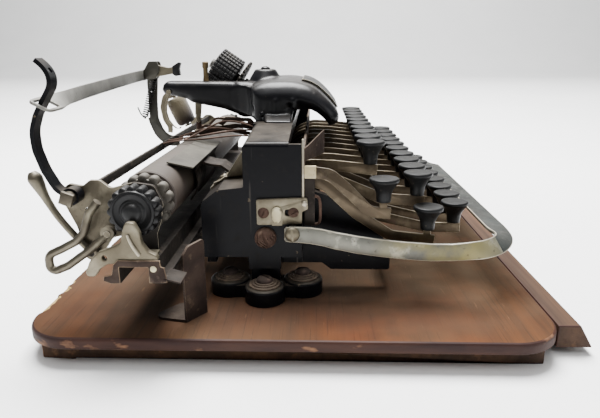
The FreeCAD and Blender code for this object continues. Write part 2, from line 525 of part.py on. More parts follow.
def make_space_bar():
    """Strip that wraps round the keyboard: on edge along both sides, flat across the front."""
    zb = BOARD_TOP
    upper = [(BAR_PIVOT_Y + 4.5, zb + 42.0), (-0.3, zb + 41.8), (-13.5, zb + 39.2), (-37.0, zb + 35.4),
             (-63.5, zb + 33.0), (-90.0, zb + 33.0)]
    lower = [(-90.0, zb + 23.5), (-63.5, zb + 23.2), (-37.0, zb + 25.6), (-13.5, zb + 29.5),
             (-0.3, zb + 32.6), (BAR_PIVOT_Y + 4.5, zb + 33.5)]
    radii = [4, 10, 30, 40, 40, 0, 0, 40, 40, 30, 10, 4]
    x0, x1 = -BAR_X - BAR_T / 2, -BAR_X + BAR_T / 2
    side = plate_x(upper + lower, x0, x1, radii)
    cx = -x0 - BAR_CORNER_R
    cy = BAR_FRONT_Y + BAR_CORNER_R
    z0 = zb + BAR_FLAT_H
    ring = Part.makeCylinder(BAR_CORNER_R, BAR_FLAT_T, V(-cx, cy, z0))
    ring = ring.cut(Part.makeCylinder(BAR_CORNER_R - BAR_FLAT_W, BAR_FLAT_T, V(-cx, cy, z0)))
    ring = ring.common(box(-cx - BAR_CORNER_R, -cx, BAR_FRONT_Y, cy, z0, z0 + BAR_FLAT_T))
    skirt = Part.makeCylinder(BAR_CORNER_R, 7.5, V(-cx, cy, z0 - 6))
    skirt = skirt.cut(Part.makeCylinder(BAR_CORNER_R - BAR_T, 7.5, V(-cx, cy, z0 - 6)))
    skirt = skirt.common(box(-cx - BAR_CORNER_R, -cx, BAR_FRONT_Y, cy, z0 - 6, z0 + 1.5))
    flat = box(-cx, cx, BAR_FRONT_Y, BAR_FRONT_Y + BAR_FLAT_W, z0, z0 + BAR_FLAT_T)
    front_lip = box(-cx, cx, BAR_FRONT_Y, BAR_FRONT_Y + BAR_T, z0 - 6, z0 + 1)
    half_parts = [side, ring, skirt]
    bar = flat.fuse([front_lip] + half_parts + [mirrored(p) for p in half_parts])
    bore = rod_x(BAR_PIVOT_Y, BAR_PIVOT_Z, BAR_SCREW_R + RUN_GAP, -BAR_X - 3, BAR_X + 3)
    save("space_bar", bar.cut(bore).removeSplitter().Solids[0])


# ---- carriage -----------------------------------------------------------------------------
def make_carriage_rail():
    """Fixed rail that the carriage channel rides on, on two arms from the body."""
    top = CHANNEL_TOP - CHANNEL_T - SEAT_GAP
    bar = box(-RAIL_L / 2, RAIL_L / 2, CHANNEL_Y - RAIL_W / 2, CHANNEL_Y + RAIL_W / 2, top - 7.0, top)
    arms = []
    low = CHANNEL_TOP - CHANNEL_H
    for x in (-75.0, 75.0):
        arms.append(box(x - 8, x + 8, LEDGE_REAR, PLATEN_Y + 3, low - 8.0, low - 1.0))
        arms.append(box(x - 6, x + 6, PLATEN_Y - 5, PLATEN_Y + 2.5, low - 2.0, top - 5))
    save("carriage_rail", fuse(bar, *arms))


def end_plate():
    """Triangular end plate that carries the platen axle, the rest bar and the levers."""
    x0 = -END_PLATE_X
    x1 = x0 + END_PLATE_T
    outline = [(72.0, 66.0), (70.0, 76.0), (74.0, 85.0), (84.0, 86.5), (95.0, 83.5), (100.0, 87.5),
               (105.0, 87.5), (108.6, 84.6), (115.3, 85.8), (120.6, 81.3), (119.2, 77.3), (113.8, 64.5),
               (110.5, 50.5), (107.0, 47.0), (103.0, 49.0), (96.5, 58.5), (92.0, 59.5), (88.0, 59.0),
               (88.0, CHANNEL_TOP), (74.0, CHANNEL_TOP), (74.0, 61.0)]
    radii = [2, 3, 3, 3, 3, 2, 2, 2, 3, 3, 3, 5, 3, 2.5, 3, 4, 2, 2, 0, 0, 2]
    plate = plate_x(outline, x0, x1, radii)
    bearing = rod_x(PLATEN_Y, PLATEN_Z, 6.0, x0 - 1.5, x1)
    return fuse(plate, bearing)


def make_carriage_frame():
    z1 = CHANNEL_TOP
    z0 = z1 - CHANNEL_H
    t = CHANNEL_T
    ya, yb = CHANNEL_Y - CHANNEL_W / 2, CHANNEL_Y + CHANNEL_W / 2
    section = [(ya - CHANNEL_FLANGE, z0), (ya + t, z0), (ya + t, z1 - t), (yb - t, z1 - t), (yb - t, z0),
               (yb + CHANNEL_FLANGE, z0), (yb + CHANNEL_FLANGE, z0 + t), (yb, z0 + t), (yb, z1), (ya, z1),
               (ya, z0 + t), (ya - CHANNEL_FLANGE, z0 + t)]
    channel = plate_x(section, -CHANNEL_L / 2, CHANNEL_L / 2)
    left, right = end_plate(), mirrored(end_plate())
    x_out = -END_PLATE_X
    stub = rod_x(STUB_Y, BOARD_TOP + STUB_H, STUB_R, x_out - 10.0, x_out + 1)
    ball_pin = rod_x(BALL_LEVER_Y, BALL_LEVER_Z, LEVER_PIN_R, x_out - 4.0, x_out + 1)
    rod_pin = rod_x(ROD_LEVER_Y, ROD_LEVER_Z, LEVER_PIN_R, x_out - 8.2, x_out + 1)
    frame = channel.fuse([left, right, stub, ball_pin, rod_pin])
    bore = rod_x(PLATEN_Y, PLATEN_Z, AXLE_R + RUN_GAP, -CHANNEL_L / 2, CHANNEL_L / 2)
    eyelet = rod_x(107.0, 72.5, 1.6, x_out - 1, x_out + END_PLATE_T + 1)
    frame = frame.cut([bore, eyelet]).removeSplitter()
    save("carriage_frame", frame.Solids[0])


def make_end_bracket():
    """Curved casting on the left end of the channel, with its two arms and finger lug."""
    x0, x1 = -CHANNEL_L / 2 - 1.6, -CHANNEL_L / 2 + 1.8
    zt = CHANNEL_TOP
    outline = [(82.6, 72.6), (84.4, 67.4), (85.4, 62.6), (90.7, 60.4), (96.2, 58.5), (100.6, 53.9),
               (103.0, 48.2), (102.0, 46.2), (98.6, 46.3), (96.2, 50.0), (92.4, 52.4), (89.3, zt),
               (71.0, zt), (68.4, 55.0), (69.4, 57.0), (73.0, 58.9), (75.8, 63.1), (76.3, 68.0), (78.6, 72.6)]
    radii = [1.8, 4, 4, 6, 6, 6, 1, 1, 2, 3, 3, 0, 0, 1, 1, 3, 4, 4, 1.8]
    plate = plate_x(outline, x0, x1, radii)
    hole = rod_x(93.5, 55.6, 1.2, x0 - 1, x1 + 1)
    foot = box(x0, x1 + 12, 72.0, 87.0, zt, zt + 1.8)
    save("carriage_end_bracket", fuse(plate, foot).cut(hole).Solids[0])


def make_paper_rest():
    """Rear bar, curved upright, head bracket and slotted strap, all fixed to the carriage."""
    zb = BOARD_TOP
    xe = END_PLATE_X - END_PLATE_T
    bar = box(-xe, xe, REST_BAR_Y - 0.8, REST_BAR_Y + 0.8, zb + REST_BAR_H - 2.3, zb + REST_BAR_H + 2.3)
    xa, xb = UPRIGHT_X - UPRIGHT_T / 2, UPRIGHT_X + UPRIGHT_T / 2
    path = [(98.5, 83.2), (105.5, 82.6), (112.5, 88.0), (116.8, 99.0), (116.6, 112.0), (115.0, 130.0)]
    upright = band_x(path, UPRIGHT_W, xa, xb, 14.0)
    upright_hole = rod_x(116.6, 118.0, 0.9, xa - 1, xb + 1)
    cheek_outline = [(119.5, 128.0), (119.5, 133.5), (115.5, 140.0), (109.5, 140.0), (108.0, 134.0),
                     (111.2, 128.0)]
    cheek_left = plate_x(cheek_outline, xa - 5.2, xa - 4.0, 1.5)
    cheek_right = plate_x(cheek_outline, xb, xb + 1.2, 1.5)
    head_top = box(xa - 5.2, xb + 1.2, 110.6, 115.0, 138.8, 140.0)
    loop_x0, loop_x1 = BOW_X - 6.5, BOW_X + 14.0
    half = STRAP_H / 2
    strap = plate_y([(xb + 1.2, STRAP_Z + 6.2 - half), (loop_x1 - 2, STRAP_Z - half),
                     (loop_x1 - 2, STRAP_Z + half), (xb + 1.2, STRAP_Z + 6.2 + half)],
                    STRAP_Y, STRAP_Y + STRAP_T)
    loop = box(loop_x0, loop_x1, STRAP_Y - 6.5, STRAP_Y + 7.5, STRAP_Z - 3.5, STRAP_Z - 2.0)
    slot = box(BOW_X - BOW_W / 2 - 0.8, BOW_X + BOW_W / 2 + 0.8, STRAP_Y - 4.2, STRAP_Y + 5.4,
               STRAP_Z - 5, STRAP_Z)
    head = fuse(bar, upright, cheek_left, cheek_right, head_top, strap, loop)
    rest = head.cut([slot, upright_hole]).removeSplitter()
    pin = rod_x(FINGER_PIN_Y, FINGER_PIN_Z, FINGER_PIN_R, xa - 4.2, xa + 0.2)
    rest = rest.fuse(pin).removeSplitter()
    coil = Part.makeCylinder(1.5, 20.0, V(xa - 2.3, 118.4, 106.5), V(0, -0.16, 0.987))
    save("paper_rest_frame", rest.Solids[0], coil)


def make_bow_arm():
    """Bowed strip that stands up behind the platen's left end and leans in the strap's loop."""
    z0 = BOARD_TOP + STUB_H
    path = [(STUB_Y + 3.0, z0 + 1.0), (118.6, 84.5), (123.2, 93.5), (126.0, 103.0), (126.2, 111.5),
            (123.4, 119.0), (119.0, 126.0), (115.2, 131.8), (115.0, 136.6), (117.4, 140.6), (120.4, 143.2)]
    x0, x1 = BOW_X - BOW_W / 2, BOW_X + BOW_W / 2
    strip = band_x(path, BOW_T, x0, x1, 16.0)
    eye = rod_x(STUB_Y, z0, STUB_R + BOW_EYE_WALL, x0, x1)
    bore = rod_x(STUB_Y, z0, STUB_R + RUN_GAP, x0 - 1, x1 + 1)
    hole = Part.makeCylinder(1.3, 8, V(BOW_X, 112.5, 140.5), V(0, 0.83, -0.55))
    save("paper_rest_arm", fuse(strip, eye).cut([bore, hole]).Solids[0])


def make_pawl():
    """Sprung finger on the head bracket; its nib points forward."""
    x0, x1 = UPRIGHT_X - UPRIGHT_T / 2 - 3.7, UPRIGHT_X - UPRIGHT_T / 2 - 0.3
    outline = [(117.5, 133.0), (114.5, 137.0), (110.4, 137.6), (102.3, 135.6), (97.8, 136.4),
               (94.9, 139.0), (93.4, 138.6), (94.8, 134.8), (94.2, 130.6), (97.0, 130.2), (99.6, 131.4),
               (108.0, 129.8), (114.5, 129.8)]
    body = plate_x(outline, x0, x1, [2, 2, 2, 3, 2, 0.5, 0.5, 1, 0.8, 0.8, 1, 4, 3])
    bore = rod_x(FINGER_PIN_Y, FINGER_PIN_Z, FINGER_PIN_R + RUN_GAP, x0 - 1, x1 + 1)
    save("paper_finger", body.cut(bore).Solids[0])


def make_platen():
    half = PLATEN_L / 2
    roller = rod_x(PLATEN_Y, PLATEN_Z, PLATEN_R, -half, half)
    reach = END_PLATE_X + 4.0 + KNOB_L - 1.0
    axle = rod_x(PLATEN_Y, PLATEN_Z, AXLE_R, -reach, reach)
    save("platen_roller", fuse(roller, axle))


def lobed_disc(r, depth, lobes, x0, x1):
    """Disc across X with a scalloped rim."""
    disc = rod_x(PLATEN_Y, PLATEN_Z, r, x0, x1)
    bite = pi * r / lobes * 0.62
    cuts = []
    for i in range(lobes):
        a = 2 * pi * (i + 0.5) / lobes
        reach = r - depth + bite
        cuts.append(rod_x(PLATEN_Y + reach * cos(a), PLATEN_Z + reach * sin(a), bite, x0 - 1, x1 + 1))
    return disc.cut(cuts).Solids[0]


def make_knobs():
    x1 = -END_PLATE_X - 4.0
    x0 = x1 - KNOB_L
    body = lobed_disc(KNOB_R, 1.0, KNOB_LOBES, x0 + 2.5, x1)
    step = rod_x(PLATEN_Y, PLATEN_Z, KNOB_R - 3.2, x0 + 1.2, x0 + 3)
    hub = rod_x(PLATEN_Y, PLATEN_Z, 5.6, x0, x0 + 3)
    bore = rod_x(PLATEN_Y, PLATEN_Z, AXLE_R, x0 + 1.0, x1 + 1)
    knob = fuse(body, step, hub).cut(bore).Solids[0]
    save("platen_knobs", knob, mirrored(knob))


def make_ratchet():
    x0 = -PLATEN_L / 2 - RATCHET_L - 2.0
    wheel = lobed_disc(RATCHET_R, 1.9, RATCHET_LOBES, x0, x0 + RATCHET_L)
    flange = rod_x(PLATEN_Y, PLATEN_Z, PLATEN_R - 2, x0 + RATCHET_L, -PLATEN_L / 2)
    bore = rod_x(PLATEN_Y, PLATEN_Z, AXLE_R, x0 - 1, 1 - PLATEN_L / 2)
    save("ratchet_wheel", fuse(wheel, flange).cut(bore).Solids[0])


def make_line_lever():
    """Bent wire lever with a ball end that turns the ratchet."""
    x = -END_PLATE_X - ROD_R - 0.3
    pts = [(BALL_LEVER_Y, BALL_LEVER_Z), (115.3, 61.5), (121.4, 70.0), (127.0, 81.5), (129.7, 88.0)]
    rod = bent_rod([V(x, y, z) for y, z in pts], ROD_R * 0.85, 12.0)
    ball = Part.makeSphere(BALL_R, V(x, 130.0, 88.8))
    eye = rod_x(BALL_LEVER_Y, BALL_LEVER_Z, 3.4, x - 1.5, x + 1.5)
    bore = rod_x(BALL_LEVER_Y, BALL_LEVER_Z, LEVER_PIN_R + RUN_GAP, x - 3, x + 3)
    save("line_space_lever", fuse(rod, ball, eye).cut(bore).Solids[0])


def make_release_lever():
    """Round rod bent back on itself, with a finger loop at its turn."""
    x = -END_PLATE_X - 2 * ROD_R - ROD_R - 0.2
    pts = [(99.6, 78.6), (104.2, 73.0), (107.6, 63.4), (111.8, 58.8), (119.2, 54.9), (126.6, 51.5),
           (126.6, 42.2), (117.5, 46.0), (106.7, 53.7), (ROD_LEVER_Y, ROD_LEVER_Z - 0.6)]
    rod = bent_rod([V(x, y, z) for y, z in pts], ROD_R, 4.4)
    eye = rod_x(ROD_LEVER_Y, ROD_LEVER_Z, 3.4, x - 1.5, x + 1.5)
    bore = rod_x(ROD_LEVER_Y, ROD_LEVER_Z, LEVER_PIN_R + RUN_GAP, x - 4, x + 4)
    save("release_lever", fuse(rod, eye).cut(bore).Solids[0])


def make_deflector():
    """Paper plate that slopes forward over the platen, with its curved apron and bracket on the body."""
    t = 0.8
    gap = 0.7
    face_d = PLATEN_R + gap + t / 2
    lean = radians(12)
    x0, x1 = -88.0, -30.0

    def on_plate(s):
        return (PLATEN_Y - face_d * sin(lean) - s * cos(lean), PLATEN_Z + face_d * cos(lean) - s * sin(lean))

    def on_apron(r, deg):
        return (PLATEN_Y + r * cos(radians(deg)), PLATEN_Z + r * sin(radians(deg)))

    card = band_x([on_plate(1.5), on_plate(16.0)], t, -108.0, -22.0, 0)
    outer = rod_x(PLATEN_Y, PLATEN_Z, PLATEN_R + 2.8, x0, x1)
    inner = rod_x(PLATEN_Y, PLATEN_Z, PLATEN_R + 1.8, x0 - 1, x1 + 1)
    sector = [(PLATEN_Y, PLATEN_Z)] + [on_apron(30, deg) for deg in (158, 190, 225)]
    apron = outer.cut(inner).common(plate_x(sector, x0 - 1, x1 + 1))
    lip = on_plate(15.4)
    brow = on_apron(PLATEN_R + 2.3, 159)
    tie = band_x([lip, brow], 1.0, x0, x1, 0)
    middle = ((lip[0] + brow[0]) / 2 - 0.2, (lip[1] + brow[1]) / 2)
    zl = BOARD_TOP + LEDGE_H
    bracket_path = [middle, (58.5, zl + 6.0), (53.0, zl + 5.5), (46.5, zl + 0.75), (38.0, zl + 1.9)]
    bracket = band_x(bracket_path, 1.4, -78.0, -60.0, 3.0)
    ledge = plate_x([(BODY_REAR - 1, zl - 6), (BODY_REAR - 1, zl + 1.6), (BODY_REAR + 14, zl),
                     (LEDGE_REAR, zl - 7), (LEDGE_REAR, zl - 12)], -100, -40)
    shape = card.fuse([apron, bracket, tie]).cut(ledge).removeSplitter()
    save("paper_deflector", max(shape.Solids, key=lambda s: s.Volume))


def make_paper_fingers():
    """Fixed guide fingers over the platen, one each side of the printing point."""
    z = BOARD_TOP + 76.0
    path = [(BODY_REAR, z), (47.0, z), (62.0, z + 4.0), (74.0, z + 5.5), (80.5, z - 0.8), (88.0, z - 1.1)]
    fingers = []
    for x in (ARM_X, WHEEL_X + 19.5):
        foot = box(x - 3, x + 3, BODY_REAR, BODY_REAR + 1.6, z - 4, z + 4)
        fingers.append(fuse(band_x(path, 1.6, x - 1.5, x + 1.5, 4.0), foot))
    post = Part.makeCylinder(1.8, 17.0, V(ARM_X, 77.8, z + 3.0))
    save("paper_fingers", fuse(fingers[0], post), fingers[1])


# ---- type mechanism -----------------------------------------------------------------------
def along_wheel(s):
    """Point on the type wheel's axis, s millimetres to the rear of the wheel's centre."""
    a = radians(WHEEL_TILT)
    return V(WHEEL_X, WHEEL_Y + s * cos(a), WHEEL_Z + s * sin(a))


def wheel_cyl(r, s0, s1):
    a = radians(WHEEL_TILT)
    return Part.makeCylinder(r, s1 - s0, along_wheel(s0), V(0, cos(a), sin(a)))


def make_type_arm():
    x0, x1 = WHEEL_X - TYPE_ARM_T / 2, WHEEL_X + TYPE_ARM_T / 2
    top = along_wheel((BEARING_S0 + BEARING_S1) / 2 + 0.8)
    path = [(TYPE_PIVOT_Y, TYPE_PIVOT_Z), (38.0, 99.0), (48.8, 110.5), (top.y, top.z)]
    arm = band_x(path, TYPE_ARM_W, x0, x1, 20.0)
    boss_half = TYPE_SLOT_HALF - SEAT_GAP
    boss = rod_x(TYPE_PIVOT_Y, TYPE_PIVOT_Z, 5.0, WHEEL_X - boss_half, WHEEL_X + boss_half)
    pin = rod_x(TYPE_PIVOT_Y, TYPE_PIVOT_Z, TYPE_PIN_R, WHEEL_X - 16, WHEEL_X + 16)
    bearing = wheel_cyl(5.0, BEARING_S0, BEARING_S1)
    bore = wheel_cyl(TYPE_SHAFT_R + RUN_GAP, BEARING_S0 - 12, BEARING_S1 + 12)
    save("type_arm", fuse(arm, boss, pin, bearing).cut(bore).Solids[0])


def make_type_shaft():
    front = BEARING_S0 - SHIFT_TRAVEL - 0.5
    shaft = wheel_cyl(TYPE_SHAFT_R, front - 2.0, WHEEL_L / 2 + 3.0)
    collar = wheel_cyl(TYPE_SHAFT_R + 1.0, front - 2.0, front)
    seat = wheel_cyl(3.4, BEARING_S1 + 0.3, -WHEEL_L / 2 - DISC_GAP - DISC_T - 0.3)
    nut = wheel_cyl(3.4, WHEEL_L / 2 + 0.3, WHEEL_L / 2 + 3.0)
    save("type_wheel_shaft", fuse(shaft, collar, seat, nut))


def make_type_wheel():
    """Type wheel with 28 raised columns and the toothed index disc in front of it."""
    h = WHEEL_L / 2
    wheel = wheel_cyl(WHEEL_R, -h, h)
    a = radians(WHEEL_TILT)
    axis = V(0, cos(a), sin(a))
    grooves = []
    for i in range(WHEEL_COLUMNS):
        b = 2 * pi * i / WHEEL_COLUMNS
        side = V(cos(b), -sin(b) * sin(a), sin(b) * cos(a))
        start = along_wheel(-h + 1.2) + side * (WHEEL_R + 0.25)
        grooves.append(Part.makeCylinder(0.75, WHEEL_L - 2.4, start, axis))
    wheel = wheel.cut(grooves)
    hub = wheel_cyl(4.2, -h - DISC_GAP - DISC_T, -h + 1)
    disc = wheel_cyl(DISC_R, -h - DISC_GAP - DISC_T, -h - DISC_GAP)
    teeth = []
    for i in range(DISC_TEETH):
        b = 2 * pi * (i + 0.5) / DISC_TEETH
        side = V(cos(b), -sin(b) * sin(a), sin(b) * cos(a))
        start = along_wheel(-h - DISC_GAP - DISC_T - 1) + side * (DISC_R + 0.2)
        teeth.append(Part.makeCylinder(1.25, DISC_T + 2, start, axis))
    disc = disc.cut(teeth)
    bore = wheel_cyl(TYPE_SHAFT_R + RUN_GAP, -h - 10, h + 10)
    save("type_wheel", fuse(wheel, hub, disc).cut(bore).Solids[0])


# ---- inking -------------------------------------------------------------------------------
def ink_point(s):
    a = radians(INK_TILT)
    return V(INK_X, INK_Y + s * cos(a), BOARD_TOP + INK_H + s * sin(a))


def ink_cyl(r, s0, s1):
    a = radians(INK_TILT)
    return Part.makeCylinder(r, s1 - s0, ink_point(s0), V(0, cos(a), sin(a)))


def make_ink():
    """Felt ink roller on a spindle, in an arm that hangs from the cover's arm."""
    half = INK_L / 2
    roller = ink_cyl(INK_R, -half, half)
    roller = roller.makeFillet(3.6, [e for e in roller.Edges if e.Closed])
    roller = roller.cut(ink_cyl(1.2 + RUN_GAP, -half - 1, half + 1)).Solids[0]
    save("ink_roller", roller)
    zi = BOARD_TOP + INK_PIVOT_H
    xa = ARM_X + ARM_W / 2 + 0.3
    xb = xa + 2.4
    pin = rod_x(INK_PIVOT_Y, zi, 1.6, ARM_X - ARM_W / 2 - 0.8, xb)
    hook = [(INK_PIVOT_Y, zi), (102.5, zi - 3.5), (104.6, 109.0), (103.2, 100.5), (100.0, 95.5),
            (100.4, 91.5)]
    handle = band_x(hook, 3.0, xa, xb, 6.0)
    boss = rod_x(INK_PIVOT_Y, zi, 3.2, xa, xb)
    top = ink_point(half + 1.7)
    yoke = band_x([(102.5, zi - 4.0), (top.y, top.z)], 2.4, xa, INK_X + 2.0, 0)
    spindle = ink_cyl(1.2, -half - 1.6, half + 3.0)
    foot = ink_cyl(2.4, -half - 1.6, -half - 0.3)
    save("ink_arm", fuse(handle, boss, pin, yoke, spindle, foot))


os.makedirs("parts", exist_ok=True)
make_board()
make_base_rails()
make_stop_bracket()
make_main_frame()
make_foot_fasteners()
make_top_cover()
make_name_plate()
make_adjusting_plate()
make_frame_screws()
make_keyboard()
make_space_bar()
make_carriage_rail()
make_carriage_frame()
make_end_bracket()
make_paper_rest()
make_bow_arm()
make_pawl()
make_platen()
make_knobs()
make_ratchet()
make_line_lever()
make_release_lever()
make_deflector()
make_paper_fingers()
make_type_arm()
make_type_shaft()
make_type_wheel()
make_ink()
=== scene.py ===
import json
import random
from math import cos, hypot, pi, radians, sin

import bpy
from mathutils import Matrix, Vector


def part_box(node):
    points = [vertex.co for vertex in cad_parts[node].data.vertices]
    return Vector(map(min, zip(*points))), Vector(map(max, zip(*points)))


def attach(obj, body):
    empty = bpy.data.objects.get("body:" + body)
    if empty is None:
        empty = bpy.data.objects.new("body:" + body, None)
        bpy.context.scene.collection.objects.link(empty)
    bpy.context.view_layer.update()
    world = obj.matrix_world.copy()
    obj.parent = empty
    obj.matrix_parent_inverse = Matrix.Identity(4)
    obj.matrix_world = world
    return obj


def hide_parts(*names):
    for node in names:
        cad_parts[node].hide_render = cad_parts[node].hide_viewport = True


# A small type-wheel typewriter on its base board.
# Sizes below are in millimetres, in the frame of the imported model, unless a name says otherwise.

MM = 0.001
MERGE_GAP = 0.00002  # metres
FLAT_WITHIN = radians(0.8)
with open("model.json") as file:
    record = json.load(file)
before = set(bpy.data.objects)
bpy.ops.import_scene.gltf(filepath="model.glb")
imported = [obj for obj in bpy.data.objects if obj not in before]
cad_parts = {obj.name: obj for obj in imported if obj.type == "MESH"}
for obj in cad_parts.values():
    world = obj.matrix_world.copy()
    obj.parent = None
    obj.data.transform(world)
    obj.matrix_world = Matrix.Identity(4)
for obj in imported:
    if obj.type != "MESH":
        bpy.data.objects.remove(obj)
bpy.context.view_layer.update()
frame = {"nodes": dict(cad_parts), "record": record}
nodes = frame["nodes"]
carried_by = {node: body for body, held in frame["record"]["behaviour"]["bodies"].items() for node in held}

LEFT, UP = Vector((-1, 0, 0)), Vector((0, 0, 1))

BOARD_TOP = 16.0
BODY_HALF = 115.0
PLATEN_AXIS = (81.25, 75.0)
PLATEN_HALF = 128.0
KNOB_PLACE, KNOB_LOBES = 145.5, 16
RATCHET_PLACE, RATCHET_LOBES = -130.0, 14
END_PLATE_X = -162.6
CAP_H = 13.0
BAR_CENTRE_X, BAR_STRIP_T = 120.5, 2.0
BAR_TURN_Y, BAR_TURN_X, BAR_FRONT_Z = -87.5, -96.5, 48.0
WHEEL_CENTRE, WHEEL_TILT = (9.0, 62.3, 132.4), radians(33.8)
INK_CENTRE, INK_TILT = (2.0, 94.3, 105.6), radians(66.0)


# ---- the camera, the lights and the floor ----------------------------------------------------
CAMERA_PLACE = Vector((-0.3909, -0.00375, 0.146))
CAMERA_YAW, CAMERA_PITCH, CAMERA_ROLL = radians(1.83), radians(16.16), radians(-0.24)
CAMERA_LENS = 32.514


def set_camera():
    ahead = Vector((cos(CAMERA_YAW), sin(CAMERA_YAW), 0))
    aside = Vector((sin(CAMERA_YAW), -cos(CAMERA_YAW), 0))
    forward = cos(CAMERA_PITCH) * ahead - sin(CAMERA_PITCH) * UP
    above = sin(CAMERA_PITCH) * ahead + cos(CAMERA_PITCH) * UP
    right = cos(CAMERA_ROLL) * aside + sin(CAMERA_ROLL) * above
    top = cos(CAMERA_ROLL) * above - sin(CAMERA_ROLL) * aside
    bpy.ops.object.camera_add(location=CAMERA_PLACE)
    camera = bpy.context.object
    camera.data.lens = CAMERA_LENS
    camera.data.sensor_width = 36.0
    camera.data.clip_start = 0.01
    turn = Matrix((right, top, -forward)).transposed().to_4x4()
    camera.matrix_world = Matrix.Translation(CAMERA_PLACE) @ turn
    bpy.context.scene.camera = camera


def soft_light(name, place, target, size, power):
    bpy.ops.object.light_add(type="AREA", location=place)
    lamp = bpy.context.object
    lamp.name = name
    lamp.data.shape = "DISK"
    lamp.data.size = size
    lamp.data.energy = power
    away = Vector(place) - Vector(target)
    lamp.rotation_euler = away.to_track_quat("Z", "Y").to_euler()


def set_lights():
    soft_light("overhead_softbox", (0.22, 0.05, 1.05), (0.0, 0.0, 0.05), 0.75, 68)
    soft_light("near_floor_light", (-0.75, 0.1, 1.2), (-0.4, 0.0, 0.0), 0.9, 6)
    soft_light("front_fill", (-0.5, -1.0, 0.6), (0.0, 0.0, 0.08), 0.6, 2.5)
    soft_light("backdrop_light", (1.0, 0.0, 1.9), (3.4, 0.0, 0.6), 1.6, 225)
    world = bpy.data.worlds.new("studio")
    bpy.context.scene.world = world
    world.use_nodes = True
    world.node_tree.nodes["Background"].inputs["Color"].default_value = (0.93, 0.95, 0.96, 1)
    world.node_tree.nodes["Background"].inputs["Strength"].default_value = 0.27


def set_floor():
    """One white sheet that lies under the machine and rises behind it in a wide curve."""
    deselect()
    bpy.ops.mesh.primitive_plane_add(size=6.0, location=(0, 0, 0))
    sheet = bpy.context.object
    sheet.name = "studio_floor"
    bpy.ops.object.mode_set(mode="EDIT")
    bpy.ops.mesh.select_all(action="DESELECT")
    bpy.ops.object.mode_set(mode="OBJECT")
    for edge in sheet.data.edges:
        if all(sheet.data.vertices[v].co.x > 2.9 for v in edge.vertices):
            edge.select = True
    bpy.ops.object.mode_set(mode="EDIT")
    bpy.ops.mesh.select_mode(type="EDGE")
    steps, stride, wall = 12, 0.2, 3.0  # stride and wall in metres
    for i in range(steps):
        a = radians(90 / steps * (i + 0.5))
        bpy.ops.mesh.extrude_edges_move(TRANSFORM_OT_translate={"value": (stride * cos(a), 0, stride * sin(a))})
    bpy.ops.mesh.extrude_edges_move(TRANSFORM_OT_translate={"value": (0, 0, wall)})
    bpy.ops.object.mode_set(mode="OBJECT")
    bpy.ops.object.shade_smooth()
    paper = Finish("floor_paper", (248, 248, 247), 0.9)
    paper.patches((243, 243, 243), None, 3.0, 0.3, 0.7, 0)
    sheet.data.materials.append(paper.material)


# ---- finishes ----------------------------------------------------------------------------------
def tone(red, green, blue):
    """A colour given by the eye's 0 to 255 values."""
    values = [v / 255 for v in (red, green, blue)]
    return [v / 12.92 if v < 0.04 else ((v + 0.055) / 1.055) ** 2.4 for v in values] + [1.0]


